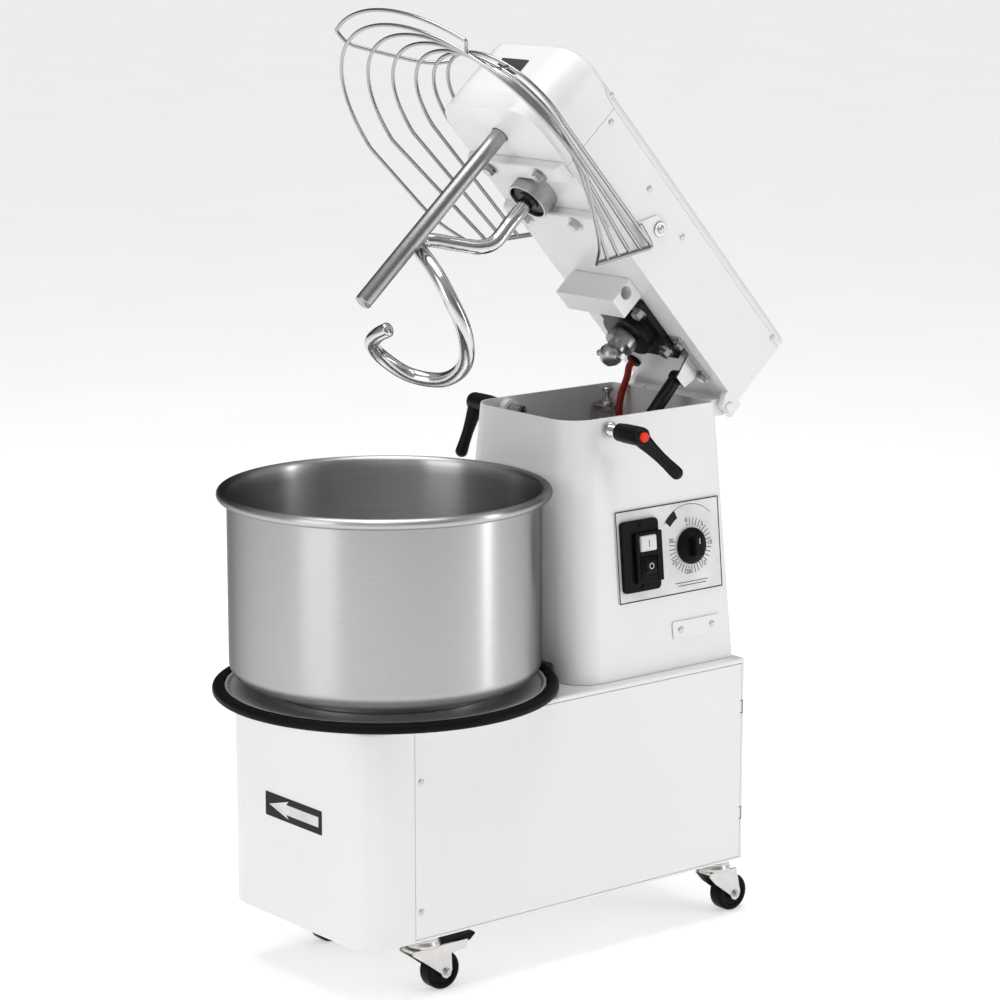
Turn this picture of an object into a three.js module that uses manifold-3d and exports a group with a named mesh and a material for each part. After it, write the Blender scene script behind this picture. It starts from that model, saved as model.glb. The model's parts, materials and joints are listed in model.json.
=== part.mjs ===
// Tilting-head spiral dough mixer on castors, with a removable bowl on a driven turntable.
// Millimetres, +Z up, front of the machine towards -Y. Heights start at the floor.
// Y is measured from the bowl's axis while building; the finished group is centred at the end.

import * as THREE from "three";
import { mergeVertices } from "three/addons/utils/BufferGeometryUtils.js";
import Module from "manifold-3d";

const wasm = await Module();
wasm.setup();

// ---- Driving dimensions ----------------------------------------------------------------

const GAP = 0.5;                       // between pieces that touch
const SLACK = 1.5;                     // between a belt or chain and its wheels

const BASE = { halfWidth: 139.3, front: -133.7, rear: 442.3, bottom: 74, top: 327.2,
  frontRadius: 36.4, rearRadius: 5, sheet: 2.5, seam: -65.2 };

const COLUMN = { bottom: BASE.top + GAP, top: 637.5, sheet: 2.5,
  lowHalf: 125.5, lowFront: 188.3, lowRear: 436.3,
  highHalf: 94.8, highFront: 198.9, highRear: 429,
  frontRadius: 36, rearRadius: 8 };

const TURNTABLE = { edge: 201.6, dish: 187, bottom: 333, floor: 340, edgeTop: 344, shaft: 15 };

const BOWL = { foot: 137, footBottom: 340.4, bottom: 346, wall: 181.5, sheet: 1.5,
  heel: 30, rim: 187.2, rimTube: 6.2, rimHeight: 567.7 };

const PIVOT = { y: 457.75, z: 626.23, barrel: 10.5, pin: 6, half: 76 };
const OPEN_ANGLE = 48.34;

const HEAD = { half: 86.6, nose: 490.4, tail: -13, noseRadius: 41, under: 12, top: 119.7,
  seam: 107, capJoint: 401.3, sheet: 3, edge: 10 };

const SPIRAL_REACH = 357;              // pivot to spiral axis, along the head
const BREAKER = { reach: 445, radius: 10, tip: -257, flange: 18 };
const INPUT_REACH = 125;               // pivot to the shaft that meets the column coupling
const CHAIN_HEIGHT = 58;

const GUARD = { centre: 449, wire: 2.4, pivotReach: 247.2, pivotHeight: 62.2, slope: 0.09 };

const STRUT = { x: 48, upReach: 62, upHeight: -14, lowY: 234, lowZ: 481 };

const LOCK = { y: 256.5, z: 623.5, pin: 7, hub: 11.5, inner: 62, hubStart: 115, hubEnd: 159 };

const CASTOR = { x: 108, frontY: -31, rearY: 423, trail: 24, wheel: 23, tread: 20, axle: 4 };

const START_KEY = { y0: 285.5, y1: 310, z0: 149, z1: 167.5 };
const STOP_KEY = { y0: 284, y1: 309, z0: 120.5, z1: 142.5 };

const PANEL_LEAN = Math.atan((COLUMN.lowHalf - COLUMN.highHalf) / (COLUMN.top - COLUMN.bottom));

// ---- Looks -----------------------------------------------------------------------------

const WHITE = { color: 0xf2f1ec, metalness: 0, roughness: 0.45 };
const STEEL = { color: 0xc9cccf, metalness: 1, roughness: 0.3 };
const CHROME = { color: 0xdfe2e4, metalness: 1, roughness: 0.12 };
const ZINC = { color: 0xb4b3ae, metalness: 1, roughness: 0.45 };
const BLACK = { color: 0x1b1b1c, metalness: 0, roughness: 0.5 };
const RUBBER = { color: 0x161616, metalness: 0, roughness: 0.85 };
const RED = { color: 0xb3161b, metalness: 0, roughness: 0.45 };
const GREY = { color: 0xb9bcc0, metalness: 0.6, roughness: 0.4 };

// ---- Solid helpers ---------------------------------------------------------------------

function toSolid(geometry) {
  geometry.deleteAttribute("normal");
  geometry.deleteAttribute("uv");
  const merged = mergeVertices(geometry, 1e-3);
  return new wasm.Manifold(new wasm.Mesh({
    numProp: 3,
    vertProperties: Float32Array.from(merged.attributes.position.array),
    triVerts: Uint32Array.from(merged.index.array),
  }));
}

function toGeometry(solid) {
  const data = solid.getMesh();
  const geometry = new THREE.BufferGeometry();
  geometry.setAttribute("position", new THREE.Float32BufferAttribute(data.vertProperties, 3));
  geometry.setIndex(Array.from(data.triVerts));
  geometry.computeVertexNormals();
  return geometry;
}

function place(group, name, solid, look) {
  const mesh = new THREE.Mesh(toGeometry(solid), new THREE.MeshStandardMaterial(look));
  mesh.name = name;
  group.add(mesh);
}

function join(solids) {
  return solids.reduce((sum, solid) => sum.add(solid));
}

function box(x0, x1, y0, y1, z0, z1) {
  const geometry = new THREE.BoxGeometry(x1 - x0, y1 - y0, z1 - z0);
  geometry.translate((x0 + x1) / 2, (y0 + y1) / 2, (z0 + z1) / 2);
  return toSolid(geometry);
}

// Closed skin through rings of equal point count, with both ends capped.
function loft(rings) {
  const count = rings[0].length;
  const positions = [];
  const index = [];
  rings.forEach((ring) => ring.forEach((p) => positions.push(p.x, p.y, p.z)));
  for (let k = 0; k < rings.length - 1; k += 1) {
    for (let j = 0; j < count; j += 1) {
      const a = k * count + j;
      const b = k * count + ((j + 1) % count);
      index.push(a, b, b + count, a, b + count, a + count);
    }
  }
  const capCentre = (ring) => ring.reduce((sum, p) => sum.add(p), new THREE.Vector3()).divideScalar(count);
  const low = capCentre(rings[0]);
  const high = capCentre(rings[rings.length - 1]);
  const lowIndex = positions.length / 3;
  const lastRing = (rings.length - 1) * count;
  positions.push(low.x, low.y, low.z, high.x, high.y, high.z);
  for (let j = 0; j < count; j += 1) {
    const next = (j + 1) % count;
    index.push(lowIndex, next, j, lowIndex + 1, lastRing + j, lastRing + next);
  }
  const geometry = new THREE.BufferGeometry();
  geometry.setAttribute("position", new THREE.Float32BufferAttribute(positions, 3));
  geometry.setIndex(index);
  return toSolid(geometry);
}

function cornerArc(x, y, radius, startDegrees, steps) {
  const points = [];
  for (let i = 0; i <= steps; i += 1) {
    const angle = THREE.MathUtils.degToRad(startDegrees + (90 * i) / steps);
    points.push([x + radius * Math.cos(angle), y + radius * Math.sin(angle)]);
  }
  return points;
}

// Counter-clockwise rounded rectangle, symmetric in X, with its own front and rear radii.
function roundedOutline(half, front, rear, frontRadius, rearRadius, steps = 5) {
  return [
    ...cornerArc(half - rearRadius, rear - rearRadius, rearRadius, 0, steps),
    ...cornerArc(-half + rearRadius, rear - rearRadius, rearRadius, 90, steps),
    ...cornerArc(-half + frontRadius, front + frontRadius, frontRadius, 180, steps),
    ...cornerArc(half - frontRadius, front + frontRadius, frontRadius, 270, steps),
  ];
}

const ringAt = (outline, z) => outline.map(([x, y]) => new THREE.Vector3(x, y, z));

// Upright block with a rounded-rectangle plan and a rounded top edge.
function softBlock(half, front, rear, frontRadius, rearRadius, z0, z1, edge, steps = 3) {
  const rings = [ringAt(roundedOutline(half, front, rear, frontRadius, rearRadius), z0)];
  for (let i = 0; i <= steps; i += 1) {
    const angle = (Math.PI / 2) * (i / steps);
    const inset = edge * (1 - Math.cos(angle));
    const outline = roundedOutline(half - inset, front + inset, rear - inset,
      frontRadius - inset, rearRadius - inset);
    rings.push(ringAt(outline, z1 - edge + edge * Math.sin(angle)));
  }
  return loft(rings);
}

// Body of revolution about the vertical line (x, y) through [radius, z] profile points.
function turned(profile, x, y, segments = 24) {
  const geometry = new THREE.LatheGeometry(profile.map(([r, z]) => new THREE.Vector2(r, z)), segments);
  geometry.rotateX(Math.PI / 2);
  geometry.translate(x, y, 0);
  return toSolid(geometry);
}

const post = (x, y, radius, z0, z1, segments = 16) =>
  turned([[0, z0], [radius, z0], [radius, z1], [0, z1]], x, y, segments);

const collar = (x, y, inner, outer, z0, z1, segments = 24) =>
  turned([[inner, z0], [outer, z0], [outer, z1], [inner, z1], [inner, z0]], x, y, segments);

// Round bar along X.
function axle(x0, x1, y, z, radius, segments = 16) {
  const geometry = new THREE.CylinderGeometry(radius, radius, x1 - x0, segments);
  geometry.rotateZ(Math.PI / 2);
  geometry.translate((x0 + x1) / 2, y, z);
  return toSolid(geometry);
}

// Flat plate between x0 and x1 with a side-view outline of [y, z] points.
function sidePlate(outline, x0, x1) {
  const shape = new THREE.Shape(outline.map(([y, z]) => new THREE.Vector2(y, z)));
  const geometry = new THREE.ExtrudeGeometry(shape, { depth: x1 - x0, bevelEnabled: false });
  const turn = new THREE.Matrix4().makeBasis(
    new THREE.Vector3(0, 1, 0), new THREE.Vector3(0, 0, 1), new THREE.Vector3(1, 0, 0));
  geometry.applyMatrix4(turn);
  geometry.translate(x0, 0, 0);
  return toSolid(geometry);
}

// Upright prism over a plan outline of [x, y] points.
function floorPlate(outline, z0, z1) {
  const shape = new THREE.Shape(outline.map(([x, y]) => new THREE.Vector2(x, y)));
  const geometry = new THREE.ExtrudeGeometry(shape, { depth: z1 - z0, bevelEnabled: false });
  geometry.translate(0, 0, z0);
  return toSolid(geometry);
}

// Round bar along a list of points; each ring is carried over from the last without twist.
function bar(points, radius, sides = 6) {
  const rings = [];
  let across = null;
  points.forEach((point, i) => {
    const before = points[Math.max(i - 1, 0)];
    const after = points[Math.min(i + 1, points.length - 1)];
    const along = after.clone().sub(before).normalize();
    if (across === null) {
      across = Math.abs(along.z) < 0.9 ? new THREE.Vector3(0, 0, 1) : new THREE.Vector3(1, 0, 0);
    }
    across = across.clone().addScaledVector(along, -across.dot(along)).normalize();
    const second = new THREE.Vector3().crossVectors(along, across);
    const ring = [];
    for (let j = 0; j < sides; j += 1) {
      const angle = (2 * Math.PI * j) / sides;
      ring.push(point.clone()
        .addScaledVector(across, radius * Math.cos(angle))
        .addScaledVector(second, radius * Math.sin(angle)));
    }
    rings.push(ring);
  });
  return loft(rings);
}

const V = (x, y, z) => new THREE.Vector3(x, y, z);
const smooth = (points, count) => new THREE.CatmullRomCurve3(points, false, "centripetal").getPoints(count);

// Outline of a belt round two wheels on the Y axis line x = 0: wheel a at ya, wheel b at yb > ya.
function beltOutline(ya, ra, yb, rb, steps = 10) {
  const lean = Math.asin((ra - rb) / (yb - ya));
  const points = [];
  for (let i = 0; i <= steps; i += 1) {
    const angle = Math.PI - lean + ((Math.PI + 2 * lean) * i) / steps;
    points.push([ra * Math.cos(angle), ya + ra * Math.sin(angle)]);
  }
  for (let i = 0; i <= steps; i += 1) {
    const angle = lean + ((Math.PI - 2 * lean) * i) / steps;
    points.push([rb * Math.cos(angle), yb + rb * Math.sin(angle)]);
  }
  return points;
}

function belt(ya, ra, yb, rb, thickness, z0, z1) {
  const outer = floorPlate(beltOutline(ya, ra + thickness, yb, rb + thickness), z0, z1);
  return outer.subtract(floorPlate(beltOutline(ya, ra, yb, rb), z0 - 1, z1 + 1));
}

function sprocket(x, y, teeth, root, depth, z0, z1) {
  const outline = [];
  for (let i = 0; i < teeth * 2; i += 1) {
    const angle = (Math.PI * i) / teeth;
    const radius = root + (i % 2 === 0 ? depth : 0);
    outline.push([x + radius * Math.cos(angle), y + radius * Math.sin(angle)]);
  }
  return floorPlate(outline, z0, z1);
}

// ---- Base ------------------------------------------------------------------------------

function addBase(machine) {
  const b = BASE;
  const outer = softBlock(b.halfWidth, b.front, b.rear, b.frontRadius, b.rearRadius, b.bottom, b.top, 3);
  const inner = softBlock(b.halfWidth - b.sheet, b.front + b.sheet, b.rear - b.sheet,
    b.frontRadius - b.sheet, b.rearRadius - b.sheet, b.bottom - 1, b.top - b.sheet, 1);
  const windowRear = b.rear - 6;
  const window = box(-b.halfWidth - 1, b.halfWidth + 1, b.seam, windowRear, b.bottom + 3, b.top - 6);
  const shaftHole = post(0, 0, TURNTABLE.shaft + 12, b.top - 10, b.top + 5, 32);
  const columnMouth = box(-90, 90, COLUMN.lowFront + 20, COLUMN.lowRear - 20, b.top - 10, b.top + 5);
  place(machine, "base_shell", outer.subtract(inner).subtract(window).subtract(shaftHole)
    .subtract(columnMouth), WHITE);

  for (const [side, sign] of [["right", 1], ["left", -1]]) {
    const near = sign * (b.halfWidth - b.sheet);
    const far = sign * b.halfWidth;
    const panel = box(Math.min(near, far), Math.max(near, far), b.seam + GAP, windowRear - GAP,
      b.bottom + 3 + GAP, b.top - 6 - GAP);
    place(machine, `base_side_panel_${side}`, panel, WHITE);
  }

  const plateOutline = roundedOutline(b.halfWidth - b.sheet - GAP, b.front + b.sheet + GAP,
    b.rear - b.sheet - GAP, b.frontRadius - b.sheet - GAP, 2);
  let plate = floorPlate(plateOutline, b.bottom, b.bottom + 4);
  for (const x of [-CASTOR.x, CASTOR.x]) {
    for (const y of [CASTOR.frontY, CASTOR.rearY]) {
      plate = plate.add(turned([[0, 57], [17, 57], [19, 70], [19, 73], [15, 73], [15, b.bottom + 1],
        [0, b.bottom + 1]], x, y, 12));
    }
  }
  place(machine, "base_floor_plate", plate, ZINC);
}

// ---- Column ----------------------------------------------------------------------------

function columnBlock(inset, z0, z1) {
  const at = (z) => {
    const t = (z - COLUMN.bottom) / (COLUMN.top - COLUMN.bottom);
    const mix = (low, high) => low + (high - low) * t;
    return ringAt(roundedOutline(mix(COLUMN.lowHalf, COLUMN.highHalf) - inset,
      mix(COLUMN.lowFront, COLUMN.highFront) + inset, mix(COLUMN.lowRear, COLUMN.highRear) - inset,
      COLUMN.frontRadius - inset, COLUMN.rearRadius - inset), z);
  };
  return loft([at(z0), at(z1)]);
}

function addColumn(machine) {
  let shell = columnBlock(0, COLUMN.bottom, COLUMN.top);
  const hollow = columnBlock(COLUMN.sheet, COLUMN.bottom - 1, COLUMN.top + 1);
  const lug = [[COLUMN.highRear - 6, PIVOT.z - 11], [PIVOT.y, PIVOT.z - PIVOT.barrel],
    [PIVOT.y, PIVOT.z + PIVOT.barrel], [COLUMN.highRear - 6, PIVOT.z + 9]];
  const lugs = sidePlate(lug, 60, PIVOT.half).add(sidePlate(lug, -PIVOT.half, -60));
  const barrel = axle(-PIVOT.half, PIVOT.half, PIVOT.y, PIVOT.z, PIVOT.barrel);
  const bore = axle(-PIVOT.half - 2, PIVOT.half + 2, PIVOT.y, PIVOT.z, PIVOT.pin + GAP);
  const turntableRecess = post(0, 0, TURNTABLE.edge + 3, COLUMN.bottom - 1, TURNTABLE.edgeTop + 4, 48);
  shell = shell.add(lugs).subtract(hollow).add(barrel).subtract(bore).subtract(turntableRecess);
  for (const sign of [-1, 1]) {
    const inner = Math.min(sign * 82, sign * 95);
    shell = shell.add(axle(inner, inner + 13, LOCK.y, LOCK.z, 12));
    shell = shell.subtract(axle(Math.min(sign * 70, sign * 110), Math.max(sign * 70, sign * 110),
      LOCK.y, LOCK.z, LOCK.pin + GAP));
  }
  place(machine, "column_shell", shell, WHITE);
}

// Everything on the leaning right-hand side of the column, in that wall's own frame:
// X out of the wall, Y along the machine, Z up the wall from its lower edge.
function addControls(machine) {
  const wall = new THREE.Group();
  wall.position.set(COLUMN.lowHalf, 0, COLUMN.bottom);
  wall.rotation.y = -PANEL_LEAN;
  machine.add(wall);

  place(wall, "control_panel_plate", box(GAP, 2, 257, 421, 89, 199), GREY);
  place(wall, "column_access_plate", box(GAP, 2, 338, 412, 35.5, 56), WHITE);

  let housing = box(2 + GAP, 7, 261.4, 320, 101, 186.5);
  housing = housing.add(box(6, 12, 279, 320, 111.5, 171.5));
  for (const key of [START_KEY, STOP_KEY]) {
    housing = housing.subtract(keyBlock(key, 3, 25, 0.8));
  }
  place(wall, "switch_box", housing, BLACK);
  place(wall, "start_button", keyBlock(START_KEY, 8, 14, 0), WHITE);
  place(wall, "stop_button", keyBlock(STOP_KEY, 8, 17.5, 0), BLACK);

  const knob = { y: 372.5, z: 144.5, radius: 22 };
  const dial = axle(2 + GAP, 9, knob.y, knob.z, knob.radius, 32)
    .add(box(8, 20, knob.y - 7, knob.y + 7, knob.z - 12, knob.z + 12));
  place(wall, "timer_knob", dial, BLACK);
}

// Block over a key's outline, grown sideways by margin, between two distances from the wall.
function keyBlock(key, x0, x1, margin) {
  return box(x0, x1, key.y0 - margin, key.y1 + margin, key.z0 - margin, key.z1 + margin);
}

// ---- Bowl and its turntable ------------------------------------------------------------

function addTurntable(machine) {
  const t = TURNTABLE;
  const profile = [[0, 100], [t.shaft, 100], [t.shaft, t.bottom - 4], [60, t.bottom - 4],
    [70, t.bottom], [t.dish, t.bottom], [t.dish, t.edgeTop - 1], [t.dish - 3, t.edgeTop - 1],
    [t.dish - 6, t.floor], [0, t.floor]];
  const wheel = sprocket(0, 0, 30, 56, 5, 118, 126);
  place(machine, "turntable", turned(profile, 0, 0, 40).add(wheel), STEEL);
  place(machine, "turntable_edge_trim", turned([[t.dish + GAP, t.bottom], [t.edge - 2, t.bottom],
    [t.edge, t.bottom + 2], [t.edge, t.edgeTop - 2], [t.edge - 2, t.edgeTop],
    [t.dish + GAP, t.edgeTop], [t.dish + GAP, t.bottom]], 0, 0, 40), RUBBER);
}

function addBowl(machine) {
  const b = BOWL;
  const outerArc = [];
  const innerArc = [];
  for (let i = 0; i <= 4; i += 1) {
    const angle = (Math.PI / 2) * (i / 4);
    outerArc.push(heelPoint(b.heel, angle));
    innerArc.push(heelPoint(b.heel - b.sheet, angle));
  }
  const profile = [[0, b.bottom], [b.foot - 3, b.bottom], [b.foot - 3, b.footBottom],
    [b.foot, b.footBottom], [b.foot, b.bottom], ...outerArc, [b.wall, b.rimHeight - b.rimTube + 1],
    ...rimOutline(), [b.wall - b.sheet, b.rimHeight - 3], ...innerArc.reverse(), [0, b.bottom + b.sheet]];
  place(machine, "bowl", turned(profile, 0, 0, 40), STEEL);
}

// Point on the bend between the bowl's bottom and its wall, angle 0 at the bottom.
function heelPoint(radius, angle) {
  const across = BOWL.wall - BOWL.heel + radius * Math.sin(angle);
  return [across, BOWL.bottom + BOWL.heel - radius * Math.cos(angle)];
}

// Rolled rim of the bowl, from the outside of the wall over the top to the inside.
function rimOutline() {
  const points = [];
  for (let i = 0; i <= 6; i += 1) {
    const angle = THREE.MathUtils.degToRad(-115 + 43 * i);
    const out = BOWL.rimTube * Math.cos(angle);
    const up = BOWL.rimTube * Math.sin(angle);
    points.push([BOWL.rim + out, BOWL.rimHeight + up]);
  }
  return points;
}

// ---- Drive inside the base and column --------------------------------------------------

const LAY_Y = PIVOT.y - INPUT_REACH;

function addDrive(machine) {
  const motorY = 205;
  const smallPulley = 22;
  const bigPulley = 55;
  const layShaft = post(0, LAY_Y, 12, 90, 560)
    .add(post(0, LAY_Y, bigPulley, 100, 112, 32))
    .add(sprocket(0, LAY_Y, 14, 26, 5, 118, 126));
  place(machine, "lay_shaft", layShaft, STEEL);
  const terminals = box(-30, 30, motorY + 50, motorY + 84, 180, 250);
  const motor = post(0, motorY, 62, 134, 290, 32).add(terminals);
  place(machine, "motor_housing", motor.subtract(post(0, motorY, 9, 120, 160)), GREY);
  const rotor = post(0, motorY, 8, 99, 155).add(post(0, motorY, smallPulley, 100, 112));
  place(machine, "motor_pulley", rotor, STEEL);
  const driveBelt = belt(motorY, smallPulley + SLACK, LAY_Y, bigPulley + SLACK, 5, 101, 111);
  place(machine, "drive_belt", driveBelt, RUBBER);
  place(machine, "bowl_drive_chain", belt(0, 61 + SLACK, LAY_Y, 31 + SLACK, 4, 119, 125), ZINC);
  const cup = turned([[0, 560 + GAP], [24, 560 + GAP], [34, 567], [34, 592], [29, 592], [29, 565.5],
    [0, 565.5]], 0, LAY_Y, 32);
  place(machine, "coupling_cup", cup, STEEL);
}

// ---- Head ------------------------------------------------------------------------------
// Built lying level, with the hinge at the origin: -Y towards the nose, Z up from the hinge.

function headBlock(inset, low, high, edge) {
  return softBlock(HEAD.half - inset, -HEAD.nose + inset, -HEAD.tail - inset, HEAD.noseRadius - inset,
    12 - Math.min(inset, 2), low, high, edge);
}

function addHeadCasing(head) {
  const h = HEAD;
  const outer = headBlock(0, h.under, h.top, h.edge);
  const cavity = headBlock(h.sheet, h.under + h.sheet, h.top - h.sheet, h.edge - 2);
  const skin = outer.subtract(cavity);

  const lidOutline = [[-h.tail + 5, 103.3], [-3.5, 103.6], [-21.9, 108.3], [-30, h.seam],
    [-h.capJoint, h.seam], [-422, 108.9], [-439.4, h.top + 1], [-439.4, h.top + 5], [-h.tail + 5, h.top + 5]];
  const lidGapOutline = [[-h.tail + 6, 103.3 - GAP], [-3.5, 103.6 - GAP], [-21.9, 108.3 - GAP],
    [-30, h.seam - GAP], [-h.capJoint, h.seam - GAP], [-422.3, 108.4], [-440, h.top + 1],
    [-440, h.top + 6], [-h.tail + 6, h.top + 6]];
  place(head, "head_cover", skin.intersect(sidePlate(lidOutline, -100, 100)), WHITE);

  const below = skin.subtract(sidePlate(lidGapOutline, -101, 101));
  const noseSpace = box(-100, 100, -h.nose - 5, -h.capJoint - GAP, 0, 130);
  const breakerHole = post(0, -BREAKER.reach, BREAKER.radius + 1, 0, 30);
  place(head, "head_nose_cap", below.intersect(noseSpace).subtract(breakerHole), WHITE);

  const bodySpace = box(-100, 100, -h.capJoint, 20, 0, 130);
  let body = below.intersect(bodySpace);
  const ear = [[12, -6], [12, h.under + 4], [-16, h.under + 4], [-16, 6], [-9, -6]];
  for (const [x0, x1] of [[PIVOT.half + 2, h.half], [-h.half, -PIVOT.half - 2]]) {
    body = body.add(sidePlate(ear, x0, x1));
  }
  body = body.subtract(axle(-100, 100, 0, 0, PIVOT.pin + GAP));
  body = body.subtract(post(0, -SPIRAL_REACH, 20, 0, 30));
  body = body.subtract(post(0, -INPUT_REACH, 16, 0, 30));
  place(head, "head_body", body, WHITE);
  place(head, "hinge_pin", axle(-h.half - 3, h.half + 3, 0, 0, PIVOT.pin), ZINC);
}

function addHeadUnderside(head) {
  const barTop = HEAD.under - GAP;
  const crossbar = (reach) => {
    const section = [[-reach - 12, barTop], [-reach - 12, 2], [-reach - 10, 0], [-reach + 10, 0],
      [-reach + 12, 2], [-reach + 12, barTop]];
    const footprint = (half) => [[half, -reach - 20], [half, -reach + 20],
      [-half, -reach + 20], [-half, -reach - 20]];
    const taper = loft([ringAt(footprint(80), -1), ringAt(footprint(86), barTop + 0.2)]);
    return sidePlate(section, -90, 90).intersect(taper);
  };
  place(head, "head_crossbar_front", crossbar(397), WHITE);
  place(head, "head_crossbar_rear", crossbar(315), WHITE);

  const block = box(-52, 52, -210, -180, -25, barTop);
  place(head, "lock_block", block.subtract(axle(-60, 60, -201, -3, LOCK.pin + 1.2)), WHITE);

  const breaker = turned([[0, BREAKER.tip], [7, BREAKER.tip], [BREAKER.radius, BREAKER.tip + 3],
    [BREAKER.radius, HEAD.under + HEAD.sheet + GAP], [BREAKER.flange, HEAD.under + HEAD.sheet + GAP],
    [BREAKER.flange, 22], [BREAKER.radius, 24], [BREAKER.radius, 40], [0, 40]], 0, -BREAKER.reach, 24);
  place(head, "breaker_bar", breaker, STEEL);

  const flange = box(-48, 48, -173, -77, 3, barTop).add(post(0, -INPUT_REACH, 34, -10, 6, 32));
  place(head, "flange_bearing", flange.subtract(post(0, -INPUT_REACH, 14, -20, 20)), BLACK);
}

function addSpiral(head) {
  const y = -SPIRAL_REACH;
  place(head, "spiral_collar", collar(0, y, 24, 27, -12, HEAD.under - GAP), STEEL);
  const spindle = post(0, y, 13, -10, 95)
    .add(post(0, y, 22, -8, 4, 32))
    .add(sprocket(0, y, 28, 46, 4, CHAIN_HEIGHT, CHAIN_HEIGHT + 8));
  place(head, "spiral_spindle", spindle, BLACK);

  // Bar centre line below the spindle: [across, towards the nose, height].
  const route = [[0, 0, -10.4], [0, 0, -45], [0, 0, -76], [-5, 9, -94], [-19, 26, -108], [-33, 45, -122],
    [-36, 56, -134], [-14, 66, -152], [26, 60, -172], [52, 36, -190], [62, -3, -206], [46, -42, -222],
    [8, -60, -238], [-32, -46, -251], [-46, -10, -259], [-36, 20, -263], [-18, 33, -258], [-4, 36, -250]];
  const points = smooth(route.map(([x, forward, z]) => V(x, y - forward, z)), 34);
  place(head, "spiral_hook", bar(points, 9, 8), CHROME);
}

function addInputShaft(head) {
  const y = -INPUT_REACH;
  const shaft = post(0, y, 12, -34, 95)
    .add(post(0, y, 19, -26, -13, 32))
    .add(turned([[0, -56], [8, -54], [13, -48], [15, -42], [13, -35], [8, -31], [0, -30]], 0, y, 24))
    .add(axle(-22, 22, y, -42, 4, 16))
    .add(sprocket(0, y, 14, 22, 4, CHAIN_HEIGHT, CHAIN_HEIGHT + 8));
  place(head, "input_shaft", shaft, STEEL);
  place(head, "head_chain", belt(-SPIRAL_REACH, 50 + SLACK, y, 26 + SLACK, 4,
    CHAIN_HEIGHT + 1, CHAIN_HEIGHT + 7), ZINC);
}

// ---- Wire guard ------------------------------------------------------------------------

// Hoops from the outside in: [radius, height at the side tangent point].
const HOOPS = [[198.6, -35.3], [170.6, -19.5], [144.8, -4.2], [121, 10.4], [105, 24], [94, 38]];
const GRAB = { radius: 217.7, height: -33, from: 56.5, to: 123.9 };
const STRIP_FRONT = V(115, -306, -46);
const STRIP_REAR = V(93.5, -243, 38);
const STRIP_END = V(93.5, -276, 42);

const hoopHeight = (height, forward) => height + GUARD.slope * (forward - GUARD.centre);

function hoopPoint(radius, height, degrees) {
  const angle = THREE.MathUtils.degToRad(degrees);
  const forward = GUARD.centre + radius * Math.sin(angle);
  return V(radius * Math.cos(angle), -forward, hoopHeight(height, forward));
}

function hoopWire([radius, height], k) {
  const steps = 13;
  const arc = [];
  for (let i = 0; i <= steps; i += 1) {
    arc.push(hoopPoint(radius, height, (180 * i) / steps));
  }
  const foot = STRIP_FRONT.clone().lerp(STRIP_REAR, k / (HOOPS.length - 1));
  const mirror = V(-foot.x, foot.y, foot.z);
  const knee = k === 0 ? [V(152, -343, -48)] : [];
  const otherKnee = knee.map((p) => V(-p.x, p.y, p.z));
  return bar([foot, ...knee, ...arc, ...otherKnee, mirror], GUARD.wire);
}

function grabWire() {
  const crossing = (degrees) => ([radius, height]) => hoopPoint(radius, height, degrees);
  const spoke = (degrees) => [...HOOPS].reverse().map(crossing(degrees));
  const arc = [];
  for (let i = 0; i <= 6; i += 1) {
    arc.push(hoopPoint(GRAB.radius, GRAB.height, GRAB.from + ((GRAB.to - GRAB.from) * i) / 6));
  }
  return bar([...spoke(GRAB.from), ...arc, ...spoke(GRAB.to).reverse()], GUARD.wire);
}

function addGuard(head) {
  const stripRoute = [STRIP_FRONT, STRIP_REAR, STRIP_END];
  const strips = [1, -1].map((sign) => bar(stripRoute.map((p) => V(sign * p.x, p.y, p.z)), 3.2));
  place(head, "guard_wires", join([...HOOPS.map(hoopWire), grabWire(), ...strips]), CHROME);
  const outline = [[-277, 44], [-240.5, 41], [-233.5, 47], [-231, 56], [-232, 65], [-237, 72],
    [-246, 75], [-262, 70.5]];
  place(head, "guard_plate_right", sidePlate(outline, HEAD.half + 0.8, HEAD.half + 3.2), WHITE);
  place(head, "guard_plate_left", sidePlate(outline, -HEAD.half - 3.2, -HEAD.half - 0.8), WHITE);
}

// ---- Gas strut between column and head --------------------------------------------------

function headToWorld(x, forward, up) {
  const angle = THREE.MathUtils.degToRad(OPEN_ANGLE);
  return V(x, PIVOT.y - Math.cos(angle) * forward + Math.sin(angle) * up,
    PIVOT.z + Math.sin(angle) * forward + Math.cos(angle) * up);
}

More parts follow.
